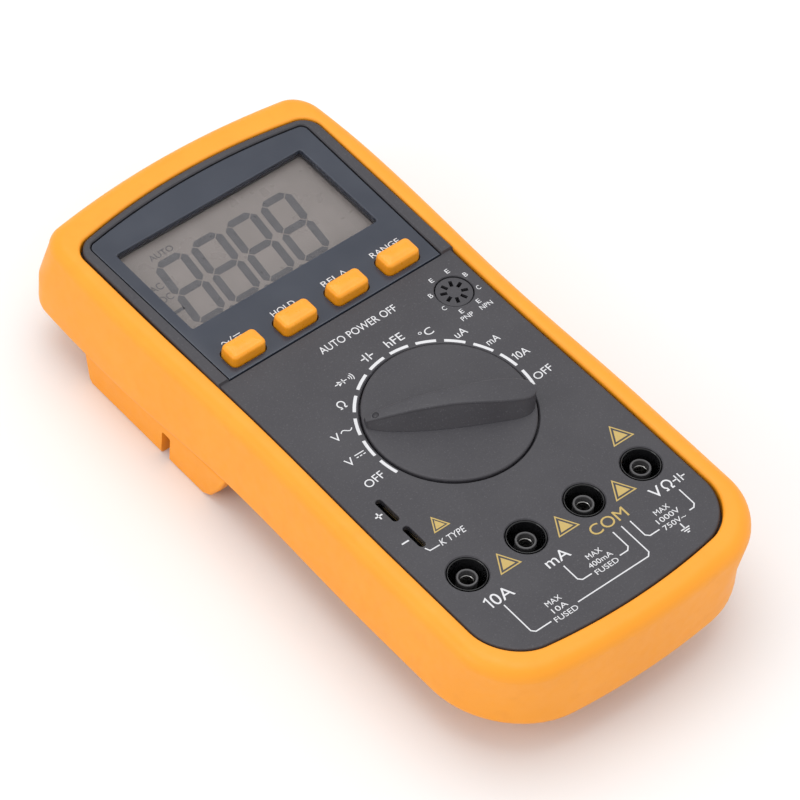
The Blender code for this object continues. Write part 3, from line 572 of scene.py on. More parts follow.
RUBBER = holster_rubber()
PANEL = panel_plastic()
FASCIA = fascia_print()
BUTTON = button_plastic()
BLACK = black_gloss()
NICKEL = metal("nickel", (0.55, 0.54, 0.53), (0.42, 0.41, 0.40), 0.30)
WHITE_INK = print_ink("white_ink", (0.70, 0.70, 0.72))
GOLD_INK = print_ink("gold_ink", (0.52, 0.37, 0.11))
SHROUD = moulded("jack_shroud", (0.075, 0.073, 0.076), (0.06, 0.058, 0.06), 0.34)
SLOT_FINISH = {
    "holster_rubber": RUBBER,
    "panel_plastic": PANEL,
    "fascia": FASCIA,
    "window": clear_window(),
    "lcd": lcd_face(),
    "white_plastic": moulded("white_plastic", (0.74, 0.74, 0.71), (0.68, 0.68, 0.64), 0.5),
    "zebra": zebra_rubber(),
    "board": circuit_board(),
    "button_plastic": BUTTON,
    "silicone": moulded("silicone", (0.33, 0.33, 0.35), (0.28, 0.28, 0.30), 0.7),
    "black_plastic": BLACK,
    "brass": metal("brass", (0.72, 0.52, 0.24), (0.55, 0.38, 0.16), 0.28),
    "steel": NICKEL,
    "fuse_glass": fuse_body(),
    "battery_jacket": battery_jacket(),
}


def finish_cad_nodes():
    """Every CAD node gets the procedural material of its slot. Those replaced later are hidden."""
    for row in frame["record"]["subparts"]:
        node = frame["nodes"][row["node"]]
        node.data.materials.clear()
        node.data.materials.append(SLOT_FINISH[row["material_slot"]])


# Holster


def probe_rail(side):
    """A soft-edged block on the holster's back that a test probe clips into."""
    profile = [(13.4, 12.3), (15.8, 6.4), (18.9, 1.6), (21.6, 0.0), (67.4, 0.0), (68.8, 1.2), (71.6, 12.3)]
    limits = sorted(side * x for x in RAIL_X)
    return along_x(f"rail_block_{side}", profile, limits, bevel=0.9)


def rail_cutters(side):
    x = side * RAIL_GROOVE_X
    groove = rod(f"rail_groove_{side}", (x, 5.0, 5.0), (x, 85.0, 5.0), 4.7, 48)
    mouth = block(f"rail_mouth_{side}", (x - 3.8, x + 3.8), (4.0, 86.0), (-3.0, 4.0))
    limits = sorted((side * (RAIL_X[0] - 3), side * (RAIL_X[1] + 3)))
    notch = block(f"rail_notch_{side}", limits, RAIL_NOTCH_Y, (-3.0, 8.4), 0.7)
    return groove, mouth, notch


def stand_lug(side):
    """An ear under the holster that holds one end of the stand's hinge pin."""
    y, z = STAND_PIVOT
    profile = arc_points((y, z), 4.0, 180, 360, 20) + [(y + 4.0, 12.3), (y - 4.0, 12.3)]
    limits = sorted((side * (STAND_X + 0.5), side * (STAND_X + 4.1)))
    return along_x(f"stand_lug_{side}", profile, limits)


def build_holster():
    opening = dict(PANEL_PLAN, half=39.1, low=-89.05, high=86.85)
    pocket = dict(CASE_PLAN, half=41.9, low=-91.1, high=90.4)
    rings = round_under(FOOT_PLAN, HOLSTER_BACK_Z, HOLSTER_ROUND, HOLSTER_TAPER / 2, FLARE)
    rings.append(plan_ring(FOOT_PLAN, 22.5, 0.0, HOLSTER_TAPER / 2, FLARE))
    rings += round_over(HOLSTER_PLAN, LIP_Z, HOLSTER_ROUND, HOLSTER_TAPER)
    rings.append(plan_ring(opening, LIP_Z, -0.9))
    for k in range(1, 4):
        angle = math.radians(30 * k)
        rings.append(plan_ring(opening, LIP_Z - 0.9 * (1 - math.cos(angle)), -0.9 * (1 - math.sin(angle))))
    rings += [plan_ring(opening, LIP_UNDER_Z), plan_ring(pocket, LIP_UNDER_Z)]
    rings.append(plan_ring(pocket, HOLSTER_FLOOR_Z))
    holster = loft("holster_skin", rings)
    y, z = STAND_PIVOT
    tools = []
    for side in (-1, 1):
        join(holster, probe_rail(side), stand_lug(side))
        reach = (side * (STAND_X - 2.0), side * (STAND_X + 3.2))
        tools += rail_cutters(side)
        tools.append(rod(f"lug_hole_{side}", (reach[0], y, z), (reach[1], y, z), HINGE_HOLE_R, 32))
    window_x = (-HUMP_X - 0.5, HUMP_X + 0.5)
    window_y = (HUMP_Y[0] - 0.5, HUMP_Y[1] + 0.5)
    tools.append(block("hump_window", window_x, window_y, (8.0, 16.0)))
    cut(holster, *tools)
    dress(holster, RUBBER, "meter", ["holster"])


# Front case


def fascia_ring(z, inset=0.0):
    """The fascia's outline: square at the foot, and bowed at the head between small corners."""
    left = low("display_fascia").x + inset
    right = high("display_fascia").x - inset
    centre = (left + right) / 2
    foot = low("display_fascia").y + inset
    head = high("display_fascia").y - inset
    corner = 2.2 - inset
    bow = 2.9
    ring = [(left + 0.8, foot), (right - 0.8, foot)]
    turns = [math.radians(90 * k / 8) for k in range(9)]
    shoulder = head - bow - corner
    ring += [(right - corner + corner * math.cos(a), shoulder + corner * math.sin(a)) for a in turns]
    span = right - centre - corner
    ring += [(centre + span * k / 12, head - bow * (k / 12) ** 2) for k in range(11, -12, -1)]
    ring += [(left + corner - corner * math.sin(a), shoulder + corner * math.cos(a)) for a in turns]
    return [(x, y, z) for x, y in ring]


def display_surround():
    """The raised frame of the display end, with rounded outer edges."""
    rings = [plan_ring(PANEL_PLAN, FACE_Z - 1.0)] + round_over(PANEL_PLAN, RIM_Z, 0.6, steps=4)
    shape = bmesh.new()
    for ring in rings:
        for x, y, z in ring:
            step = STEP_Y + (z - FACE_Z) * 0.5
            shape.verts.new((x, max(y, step), z))
    bmesh.ops.remove_doubles(shape, verts=shape.verts, dist=0.001)
    bmesh.ops.convex_hull(shape, input=shape.verts)
    loose = [v for v in shape.verts if not v.link_faces]
    bmesh.ops.delete(shape, geom=loose, context="VERTS")
    return solid("display_surround", shape)


def build_front_case():
    wall = 2.0
    rings = [plan_ring(PANEL_PLAN, FACE_Z - 1.6, wall), plan_ring(PANEL_PLAN, 29.6, wall)]
    rings += [plan_ring(CASE_PLAN, 29.6, wall), plan_ring(CASE_PLAN, PARTING_Z + 0.15, wall)]
    rings.append(plan_ring(CASE_PLAN, PARTING_Z + 0.15))
    rings += round_over(CASE_PLAN, SHOULDER_Z, 1.0, steps=3)
    rings.append(plan_ring(PANEL_PLAN, SHOULDER_Z))
    rings += round_over(PANEL_PLAN, FACE_Z, 0.6, steps=4)
    case = loft("front_panel", rings)
    floor = block("display_floor", (-36.6, 36.4), (23.6, 82.0), (POCKET_Z - 0.8, FACE_Z - 0.6))
    seat = turned("dial_seat", DIAL, [(24.6, 31.0), (24.6, FACE_Z - 0.8)])
    join(case, display_surround(), floor, seat)
    pocket = [fascia_ring(POCKET_Z, -GAP), fascia_ring(RIM_Z - 0.3, -GAP)]
    pocket += [fascia_ring(RIM_Z, -GAP - 0.3), fascia_ring(RIM_Z + 2.0, -GAP - 0.3)]
    cut(case, loft("fascia_pocket", pocket))
    tools = [rounded_hole("lcd_opening", WINDOW_X, WINDOW_Y, 0.7, FASCIA_Z, 0.0)]
    for name in BUTTONS:
        tools.append(button_hole(name, 36.5))
    tools.append(round_hole("dial_opening", DIAL, DIAL_HOLE_R, FACE_Z, 2.4, 0.3, 128))
    tools.append(turned("dial_throat", DIAL, [(13.8, 30.4), (13.8, 33.0)]))
    for name, place in JACKS.items():
        tools.append(round_hole(f"jack_opening_{name}", place, 5.4, FACE_Z, flare=0.3))
    tools.append(round_hole("transistor_opening", TRANSISTOR, 5.2, FACE_Z, flare=0.2))
    for name in ("plus", "minus"):
        box_low = low(f"thermocouple_contact_{name}")
        box_high = high(f"thermocouple_contact_{name}")
        x = (box_low.x - 1.2, box_low.x + 0.8)
        y = (box_low.y - 0.6, box_high.y + 0.6)
        tools.append(rounded_hole(f"thermo_slot_{name}", x, y, 0.95, FACE_Z, 0.15))
    cut(case, *tools)
    dress(case, PANEL, "meter", ["front_case"])


# Display


def build_fascia():
    levels = [(FASCIA_Z - 1.5, 0.0), (FASCIA_Z - 0.3, 0.0), (FASCIA_Z - 0.1, 0.06), (FASCIA_Z, 0.25)]
    fascia = loft("fascia_plate", [fascia_ring(z, inset) for z, inset in levels])
    tools = [rounded_hole("fascia_window", WINDOW_X, WINDOW_Y, 0.7, FASCIA_Z, 0.18)]
    for name in BUTTONS:
        tools.append(button_hole(name, FASCIA_Z))
    cut(fascia, *tools)
    dress(fascia, FASCIA, "meter", ["display_fascia"])


def segment_outline(start, end, width, slant, foot):
    """One bar of a seven-segment digit, pointed at both ends and leaning by slant about the height foot."""
    start = Vector(start)
    end = Vector(end)
    way = (end - start).normalized()
    side = Vector((-way.y, way.x)) * width / 2
    inner = way * width / 2
    right = [start + inner - side, end - inner - side]
    left = [end - inner + side, start + inner + side]
    points = [start, *right, end, *left]
    return [(p.x + slant * (p.y - foot), p.y) for p in points]


def digit(shape, centre, z):
    half_x = 4.0
    half_y = 10.6
    width = 2.25
    slack = 0.22
    x, y = centre
    rows = (y - half_y, y, y + half_y)
    bars = [((x - half_x + slack, row), (x + half_x - slack, row)) for row in rows]
    for side in (-half_x, half_x):
        bars.append(((x + side, rows[0] + slack), (x + side, rows[1] - slack)))
        bars.append(((x + side, rows[1] + slack), (x + side, rows[2] - slack)))
    for start, end in bars:
        prism(shape, segment_outline(start, end, width, 0.14, y), z)


def build_lcd_marks():
    """The display is off, so its segments show only as faint darker shapes."""
    shape = bmesh.new()
    z = (LCD_Z - 0.02, LCD_Z + 0.03)
    foot = WINDOW_Y[0] + 12.8
    for x in (-21.9, -10.4, 1.0, 12.6):
        digit(shape, (x, foot + 0.3), z)
    for x in (-17.6, -6.1, 5.3):
        dot = [(x + 1.0 * math.cos(a), foot - 11.6 + 1.0 * math.sin(a)) for a in circle_turns(20)]
        prism(shape, dot, z)
    word(shape, "AUTO", (WINDOW_X[0] + 11.2, foot + 14.0), (7.4, 2.0), z)
    word(shape, "AC", (WINDOW_X[0] + 2.9, foot + 5.4), (3.6, 2.3), z)
    word(shape, "DC", (WINDOW_X[0] + 2.9, foot + 1.2), (3.6, 2.3), z)
    stroke(shape, [(WINDOW_X[0] + 1.2, foot - 4.0), (WINDOW_X[0] + 4.4, foot - 4.0)], 1.0, z)
    marks = solid("lcd_marks", shape)
    dress(marks, lcd_segment(), "meter")


# Printed marks


def prism(shape, outline, z):
    """Adds a flat closed outline as a thin slab between the two heights of z."""
    span(shape, [[(x, y, height) for x, y in outline] for height in z])


def stroke(shape, points, width, z, closed=False):
    """Adds a line of even width through the points, with mitred bends."""
    points = [Vector(point) for point in points]
    count = len(points)
    left = []
    right = []
    for i, point in enumerate(points):
        before = points[i - 1] if closed or i else point
        after = points[(i + 1) % count] if closed or i < count - 1 else point
        arriving = (point - before).normalized() if before != point else (after - point).normalized()
        leaving = (after - point).normalized() if after != point else arriving
        along = (arriving + leaving).normalized()
        side = Vector((-along.y, along.x))
        reach = width / 2 / max(abs(along.dot(leaving)), 0.35)
        left.append(point + side * reach)
        right.append(point - side * reach)
    if not closed:
        prism(shape, [tuple(p) for p in right + left[::-1]], z)
        return
    rows = [[shape.verts.new((p.x, p.y, height)) for p in line] for height in z for line in (left, right)]
    for first, second in ((0, 1), (1, 3), (3, 2), (2, 0)):
        for i in range(count):
            j = (i + 1) % count
            shape.faces.new((rows[first][i], rows[first][j], rows[second][j], rows[second][i]))


def word(shape, text, centre, size, z, tilt=0.0, slant=0.0):
    """Adds generic lettering, fitted to a width and height about its centre."""
    curve = bpy.data.curves.new("word", "FONT")
    curve.body = text
    curve.shear = slant
    curve.extrude = 1.0
    curve.resolution_u = 4
    holder = place_new("word", curve)
    bpy.context.view_layer.update()
    mesh = bpy.data.meshes.new_from_object(holder.evaluated_get(bpy.context.evaluated_depsgraph_get()))
    bpy.data.objects.remove(holder, do_unlink=True)
    xs = [v.co.x for v in mesh.vertices]
    ys = [v.co.y for v in mesh.vertices]
    start = Vector((min(xs), min(ys)))
    extent = Vector((max(xs), max(ys))) - start
    turn = Matrix.Rotation(math.radians(tilt), 2)
    for v in mesh.vertices:
        x = ((v.co.x - start.x) / extent.x - 0.5) * size[0]
        y = ((v.co.y - start.y) / extent.y - 0.5) * size[1]
        spot = turn @ Vector((x, y))
        v.co = (centre[0] + spot.x, centre[1] + spot.y, z[0] if v.co.z < 0 else z[1])
    part = bmesh.new()
    part.from_mesh(mesh)
    bmesh.ops.remove_doubles(part, verts=part.verts, dist=0.0005)
    part.to_mesh(mesh)
    part.free()
    shape.from_mesh(mesh)
    bpy.data.meshes.remove(mesh)


def arc_points(centre, radius, start, end, steps=14):
    """Points of an arc; its angles are in degrees."""
    turns = [math.radians(start + (end - start) * k / steps) for k in range(steps + 1)]
    return [(centre[0] + radius * math.cos(a), centre[1] + radius * math.sin(a)) for a in turns]


def on_face(z=None):
    z = FACE_Z if z is None else z
    return (z - PRINT_LIFT, z + PRINT_LIFT)


def dial_place(x, y):
    return (DIAL[0] + x, DIAL[1] + y)


def dial_ticks(shape):
    """One white arc for each of the twelve places of the dial."""
    radius = 23.73
    width = 0.85
    half = math.degrees(5.4 / radius) / 2
    for place in range(12):
        turn = 189.94 - 18.0 * place
        outer = arc_points(DIAL, radius + width / 2, turn - half, turn + half, 8)
        inner = arc_points(DIAL, radius - width / 2, turn + half, turn - half, 8)
        prism(shape, outer + inner, on_face())


def direct_sign(shape, centre, width):
    """A solid line over a broken one."""
    x, y = centre
    z = on_face()
    stroke(shape, [(x - width / 2, y + 0.42), (x + width / 2, y + 0.42)], 0.28, z)
    dash = width / 4.2
    for k in (-1, 0, 1):
        middle_x = x + k * (width - dash) / 2
        stroke(shape, [(middle_x - dash / 2, y - 0.42), (middle_x + dash / 2, y - 0.42)], 0.28, z)


def wave_sign(shape, centre, width, z, tall=0.5, line=0.28):
    x, y = centre
    steps = 16
    points = []
    for k in range(steps + 1):
        points.append((x + width * (k / steps - 0.5), y + tall * math.sin(math.tau * k / steps)))
    stroke(shape, points, line, z)


def ohm_sign(shape, centre, tall, line):
    x, y = centre
    radius = tall * 0.40
    ring = arc_points((x, y + tall * 0.08), radius, -58, 238, 20)
    foot = y - tall / 2 + line / 2
    feet = [(x + radius * 1.05, foot), (ring[0][0], foot), (ring[-1][0], foot), (x - radius * 1.05, foot)]
    stroke(shape, feet[:2] + ring + feet[2:], line, on_face())


def capacitor_sign(shape, centre, size):
    """Two plates with a lead from each."""
    x, y = centre
    for side in (-1, 1):
        plate = [(x + side * 0.55, y - size / 2), (x + side * 0.55, y + size / 2)]
        lead = [(x + side * 0.55, y), (x + side * size * 0.75, y)]
        for line in (plate, lead):
            stroke(shape, line, 0.34, on_face())


def diode_sign(shape, centre):
    """A diode's arrow and bar, with three arcs of sound beside it."""
    x, y = centre
    z = on_face()
    stroke(shape, [(x - 2.7, y), (x + 1.0, y)], 0.26, z)
    prism(shape, [(x - 1.7, y - 0.85), (x - 0.2, y), (x - 1.7, y + 0.85)], z)
    stroke(shape, [(x - 0.1, y - 0.85), (x - 0.1, y + 0.85)], 0.28, z)
    for k in range(3):
        stroke(shape, arc_points((x + 1.2, y), 0.6 + 0.62 * k, -38, 38, 6), 0.24, z)


def ten_amps(shape, centre, size, z, line):
    """10A, with a plain flagged one drawn as a line."""
    width, tall = size
    stem = centre[0] - width / 2 + 0.16 * width
    foot = centre[1] - tall / 2
    flag = [(stem - 0.12 * width, foot + 0.78 * tall), (stem, foot + 0.95 * tall), (stem, foot)]
    stroke(shape, flag, line, z)
    word(shape, "0A", (centre[0] + 0.13 * width, centre[1]), (0.74 * width, tall), z)


def dial_labels(shape):
    z = on_face()
    words = (
        ("OFF", (-28.8, -5.1), (6.0, 2.4), 6.0),
        ("OFF", (27.5, -4.2), (5.9, 2.3), 4.0),
        ("hFE", (4.4, 26.6), (5.5, 2.5), 0.0),
        ("°C", (12.5, 23.6), (3.9, 2.4), 0.0),
        ("uA", (19.4, 18.3), (3.6, 2.3), 0.0),
        ("mA", (24.4, 11.6), (3.9, 2.1), 0.0),
        ("V", (-30.0, 2.8), (2.3, 2.4), 0.0),
        ("V", (-27.7, 10.8), (2.3, 2.4), 0.0),
    )
    for text, offset, size, tilt in words:
        word(shape, text, dial_place(*offset), size, z, tilt)
    ten_amps(shape, dial_place(27.0, 3.8), (4.9, 2.3), z, 0.3)
    direct_sign(shape, dial_place(-26.4, 3.2), 2.9)
    wave_sign(shape, dial_place(-24.2, 11.1), 3.4, z)
    ohm_sign(shape, dial_place(-19.9, 18.2), 2.5, 0.34)
    diode_sign(shape, dial_place(-14.5, 23.9))
    capacitor_sign(shape, dial_place(-4.7, 26.4), 2.6)
    word(shape, "AUTO POWER OFF", dial_place(-0.6, 34.9), (24.8, 2.3), z)


def transistor_labels(shape):
    z = on_face()
    around = (
        ("E", -2.4, 6.2),
        ("E", 2.9, 6.2),
        ("B", -5.9, 2.4),
        ("B", 5.9, 2.6),
        ("C", -5.9, -2.9),
        ("C", 5.7, -2.8),
        ("E", -3.0, -6.3),
        ("E", 2.7, -6.3),
    )
    for text, x, y in around:
        word(shape, text, (TRANSISTOR[0] + x, TRANSISTOR[1] + y), (1.05, 1.4), z)
    word(shape, "PNP", (TRANSISTOR[0] - 2.9, TRANSISTOR[1] - 8.5), (3.8, 1.4), z)
    word(shape, "NPN", (TRANSISTOR[0] + 3.4, TRANSISTOR[1] - 8.5), (3.8, 1.4), z)


def thermocouple_labels(shape):
    z = on_face()
    slot = low("thermocouple_contact_minus")
    x = slot.x - 1.2
    plus_x = x - 1.9
    plus_y = slot.y + 13.2
    stroke(shape, [(plus_x - 1.1, plus_y), (plus_x + 1.1, plus_y)], 0.42, z)
    stroke(shape, [(plus_x, plus_y - 1.1), (plus_x, plus_y + 1.1)], 0.42, z)
    stroke(shape, [(plus_x - 1.2, slot.y + 3.0), (plus_x + 1.0, slot.y + 3.0)], 0.42, z)
    leader = [(x + 0.6, slot.y - 1.3), (x + 1.2, slot.y - 2.6), (x + 4.2, slot.y - 2.7)]
    stroke(shape, leader, 0.32, z)
    word(shape, "K TYPE", (x + 8.6, slot.y - 2.4), (8.0, 1.9), z, slant=0.2)


def jack_labels(shape):
    z = on_face()
    ten = JACKS["10a"]
    milli = JACKS["ma"]
    volt = JACKS["volt"]
    ten_amps(shape, (ten[0] + 1.1, ten[1] - 10.1), (8.4, 3.5), z, 0.42)
    word(shape, "mA", (milli[0] + 1.5, milli[1] - 9.6), (7.2, 3.1), z)
    word(shape, "V", (volt[0] - 3.2, volt[1] - 9.1), (3.2, 3.3), z)
    ohm_sign(shape, (volt[0] + 0.5, volt[1] - 9.1), 3.2, 0.42)
    capacitor_sign(shape, (volt[0] + 4.3, volt[1] - 9.1), 2.6)


def input_brackets(shape):
    """Lines from the jacks down to the limits of each input, and the values beside them."""
    z = on_face()
    base = JACKS["ma"][1]

    def at(x, y):
        return (x + 0.95, y + base)

    lines = (
        ((-27.8, -12.7), (-27.8, -22.6), (-26.9, -23.5), (-22.0, -23.5)),
        ((-12.9, -23.0), (10.2, -23.0), (11.2, -22.0), (11.2, -11.9)),
        ((-8.3, -12.5), (-8.3, -17.6), (-7.4, -18.5), (-4.4, -18.5)),
        ((4.8, -18.5), (7.4, -18.5), (8.3, -17.6), (8.3, -12.0)),
        ((14.0, -12.0), (14.0, -17.5), (14.9, -18.4), (18.0, -18.4)),
        ((28.0, -18.4), (29.5, -18.4), (30.4, -17.5), (30.4, -12.0)),
    )
    for line in lines:
        stroke(shape, [at(x, y) for x, y in line], 0.34, z)
    values = (
        ((0.1, -14.1), (("MAX", 4.6), ("400mA", 7.4), ("FUSED", 7.2))),
        ((-17.5, -19.0), (("MAX", 4.6), ("10A", 4.6), ("FUSED", 7.2))),
        ((22.6, -14.0), (("MAX", 4.6), ("1000V", 7.2), ("750V~", 7.2))),
    )
    for (x, y), rows in values:
        for row, (text, width) in enumerate(rows):
            word(shape, text, at(x, y - 2.45 * row), (width, 1.55), z)
    x, y = at(23.3, -22.0)
    stroke(shape, [(x, y + 1.9), (x, y)], 0.36, z)
    for row, half in enumerate((1.35, 0.9, 0.4)):
        stroke(shape, [(x - half, y - 0.65 * row), (x + half, y - 0.65 * row)], 0.34, z)


def button_labels(shape):
    z = on_face(FASCIA_Z)
    tops = {name: (middle(name).x, high_cap(name)[1]) for name in BUTTONS}
    lift = 1.8
    x, y = tops["button_mode"]
    wave_sign(shape, (x - 1.9, y + 1.8), 2.2, z, 0.4, 0.24)
    slash = ((-0.4, 1.0), (0.4, 2.6))
    bar = ((0.9, 2.1), (3.1, 2.1))
    dashes = (((0.9, 1.4), (1.8, 1.4)), ((2.2, 1.4), (3.1, 1.4)))
    for line in (slash, bar, *dashes):
        stroke(shape, [(x + along, y + up) for along, up in line], 0.24, z)
    for name, text, width in (("button_hold", "HOLD", 7.4), ("button_range", "RANGE", 9.4)):
        x, y = tops[name]
        word(shape, text, (x, y + lift), (width, 1.8), z)
    x, y = tops["button_relative"]
    word(shape, "REL", (x - 1.4, y + lift), (5.2, 1.8), z)
    stroke(shape, [(x + 2.0, y + 1.0), (x + 3.8, y + 1.0), (x + 2.9, y + 2.6)], 0.24, z, closed=True)


def triangle(shape, centre, width, tall):
    """A plain filled triangle inside a triangular outline, with no sign in it."""
    x, y = centre
    foot = y - tall / 2
    corners = [(x - width / 2, foot), (x + width / 2, foot), (x, y + tall / 2)]
    stroke(shape, corners, 0.34, on_face(), closed=True)
    middle_y = foot + tall / 3
    inner = [(x + 0.62 * (cx - x), middle_y + 0.62 * (cy - middle_y)) for cx, cy in corners]
    prism(shape, inner, on_face())


def gold_marks(shape):
    z = on_face()
    com = JACKS["com"]
    word(shape, "COM", (com[0] + 0.1, com[1] - 8.8), (11.4, 3.4), z)
    for x, y in ((-18.0, -2.5), (1.0, -2.4), (19.8, -2.5), (31.0, 10.9)):
        triangle(shape, (x, com[1] + y), 6.3, 5.4)
    triangle(shape, (-23.3, com[1] + 16.6), 4.6, 4.1)


def build_print():
    white = bmesh.new()
    for draw in (
        dial_ticks,
        dial_labels,
        transistor_labels,
        thermocouple_labels,
        jack_labels,
        input_brackets,
        button_labels,
    ):
        draw(white)
    dress(solid("white_print", white), WHITE_INK, "meter")
    gold = bmesh.new()
    gold_marks(gold)
    dress(solid("gold_print", gold), GOLD_INK, "meter")


# Buttons


def button_hole(name, z):
    x = (low_cap(name)[0] - GAP, high_cap(name)[0] + GAP)
    y = (low_cap(name)[1] - GAP, high_cap(name)[1] + GAP)
    return rounded_hole(f"{name}_hole_{round(z)}", x, y, 1.95, z, 0.12)


def low_cap(name):
    """The lower left corner of a button's cap, which its node's box can't give because of the flange."""
    centre = middle(name)
    return (centre.x - CAP_HALF[0], centre.y - CAP_HALF[1])


def high_cap(name):
    centre = middle(name)
    return (centre.x + CAP_HALF[0], centre.y + CAP_HALF[1])


def build_buttons():
    """Caps with a slight draft, rounded edges and a crowned top."""
    bodies = dict(zip(BUTTONS, ("mode_key", "hold_key", "relative_key", "range_key")))
    draft = 0.12
    edge = 1.15
    crown = 0.35
    flange_drop = 6.55
    flat_half = (2.4, 0.2)
    for name in BUTTONS:
        centre = middle(name)
        top = high(name).z
        flange_z = (low(name).z + 0.7, top - flange_drop)
        rings = [rounded_rectangle(centre, *FLANGE_HALF, FLANGE_CORNER, z) for z in flange_z]
        for z in (flange_z[1] + 0.01, top - 2.6):
            rings.append(rounded_rectangle(centre, *CAP_HALF, CAP_CORNER, z))
        for k in range(9):
            angle = math.radians(90 * k / 8)
            inset = draft + edge * (1 - math.cos(angle))
            z = top - crown - edge * (1 - math.sin(angle))
            half_x = CAP_HALF[0] - inset
            half_y = CAP_HALF[1] - inset
            rings.append(rounded_rectangle(centre, half_x, half_y, max(CAP_CORNER - inset, 0.35), z))
        for k in range(1, 6):
            share = k / 5
            half_x = (CAP_HALF[0] - draft - edge) * (1 - share) + flat_half[0] * share
            half_y = (CAP_HALF[1] - draft - edge) * (1 - share) + flat_half[1] * share
            z = top - crown * (1 - share) ** 2
            rings.append(rounded_rectangle(centre, half_x, half_y, min(0.35, half_y * 0.9), z))
        cap = loft(f"{name}_cap", rings)
        dress(cap, BUTTON, bodies[name], [name], angle=50)


# Selector


def grip_half_width(u):
    """Half the width of the dial's grip at u along it, from its blunt end at -22 to its point at +22."""
    half = 6.0
    if u > -8.0:
        return half * math.sqrt(max(1 - ((u + 8.0) / 30.6) ** 2, 0.0))
    return half * math.sqrt(max(1 - ((u + 8.0) / 14.1) ** 6, 0.0))


def grip_crest_share(u):
    """Width of the grip's top as a share of its foot: wide at the blunt end, narrow from the middle on."""
    blend = min(max((u + 14.0) / 16.0, 0.0), 1.0)
    return 0.62 - 0.18 * (0.5 - 0.5 * math.cos(math.pi * blend))


def grip_height(u):
    tall = 6.1
    if u < -3.0:
        return tall - 2.0 * ((u + 3.0) / 19.0) ** 2
    return tall - 4.2 * ((u + 3.0) / 25.0) ** 2.5


def grip_section(u):
    """Half a cross-section of the grip at u: foot, leaning wall, rounded shoulder and top."""
    foot = grip_half_width(u)
    crest = foot * grip_crest_share(u)
    top = FACE_Z + 0.5 + grip_height(u)
    shoulder = min(1.1, crest * 0.7)
    section = [(foot, FACE_Z - 0.4), (foot, FACE_Z + 0.55), (foot - 0.12, FACE_Z + 0.95)]
    for k in range(6):
        angle = math.radians(20 + 70 * k / 5)
        out = crest + 0.15 - shoulder * (1 - math.cos(angle - math.radians(20)))
        section.append((out, top - shoulder * (1 - math.sin(angle))))
    section.append((crest * 0.35, top + 0.04))
    return section


def build_selector():
    along = Vector((math.cos(POINTER), math.sin(POINTER), 0.0))
    across = Vector((-along.y, along.x, 0.0))
    centre = Vector((*DIAL, 0.0))
    rings = []
    steps = 56
    for k in range(steps + 1):
        u = -0.1 - 21.85 * math.cos(math.pi * k / steps)
        half = grip_section(u)
        section = [(-v, z) for v, z in half] + half[::-1]
        rings.append([centre + along * u + across * v + Vector((0, 0, z)) for v, z in section])
    grip = loft("knob_grip", rings)
    edge = DIAL_R
    profile = [(13.2, 26.9), (13.2, FACE_Z - 2.1), (edge, FACE_Z - 2.1), (edge, FACE_Z + 0.05)]
    for k in range(1, 6):
        angle = math.radians(18 * k)
        profile.append((edge - 0.55 * (1 - math.cos(angle)), FACE_Z + 0.05 + 0.55 * math.sin(angle)))
    knob = turned("dial_knob", DIAL, profile, 160)
    join(knob, grip)
    dimple = bmesh.new()
    bmesh.ops.create_uvsphere(dimple, u_segments=32, v_segments=16, radius=0.95)
    dimple_u = 19.3
    spot = centre + along * dimple_u
    spot.z = FACE_Z + 0.5 + grip_height(dimple_u) + 0.3
    bmesh.ops.translate(dimple, vec=spot, verts=dimple.verts)
    cut(knob, solid("knob_dimple", dimple), turned("knob_bore", DIAL, [(1.9, 20.0), (1.9, 31.0)]))
    dress(knob, PANEL, "selector", ["selector_knob"])


# Jacks and sockets


def build_jacks():
    for name, place in JACKS.items():
        shell = [(4.75, 17.4), (4.75, FACE_Z - 0.6), (4.82, FACE_Z - 0.3), (4.95, FACE_Z - 0.18)]
        shell += [(5.05, FACE_Z - 0.2), (5.1, FACE_Z - 0.3), (5.1, 16.2), (2.0, 16.2), (2.0, 17.4)]
        housing = turned(f"jack_shell_{name}", place, shell, 72, ring_shaped=True)
        dress(housing, BLACK, "meter", [f"jack_housing_{name}"])
        top = FACE_Z - 1.5
        tube = [(2.15, 18.9), (2.15, top - 0.15), (2.25, top), (2.6, top), (2.75, top - 0.15), (2.75, 17.8)]
        tube += [(1.2, 17.8), (1.2, 18.9)]
        sleeve = turned(f"jack_tube_{name}", place, tube, 64, ring_shaped=True)
        dress(sleeve, SHROUD, "meter", [f"jack_sleeve_{name}"])
        spring = [(1.75, 19.4), (1.75, top - 1.7), (1.85, top - 1.6), (2.0, top - 1.7), (2.0, 19.4)]
        contact = turned(f"jack_contact_{name}", place, spring, 48, ring_shaped=True)
        dress(contact, NICKEL, "meter")


def build_transistor_socket():
    profile = [(4.0, 26.0), (4.0, 33.0), (4.95, 33.0), (4.95, FACE_Z - 0.5), (4.8, FACE_Z - 0.35)]
    socket = turned("transistor_plug", TRANSISTOR, profile, 72)
    slots = []
    for index in range(8):
        angle = math.radians(22.5 + 45 * index)
        shape = bmesh.new()
        bmesh.ops.create_cube(shape, size=1.0)
        bmesh.ops.scale(shape, vec=(1.9, 1.0, 8.0), verts=shape.verts)
        bmesh.ops.translate(shape, vec=(2.8, 0.0, FACE_Z - 1.0), verts=shape.verts)
        spin = Matrix.Translation((*TRANSISTOR, 0.0)) @ Matrix.Rotation(angle, 4, "Z")
        bmesh.ops.transform(shape, matrix=spin, verts=shape.verts)
        slots.append(solid(f"transistor_slot_{index}", shape))
    cut(socket, *slots)
    dress(socket, PANEL, "meter", ["transistor_socket"])


# Back


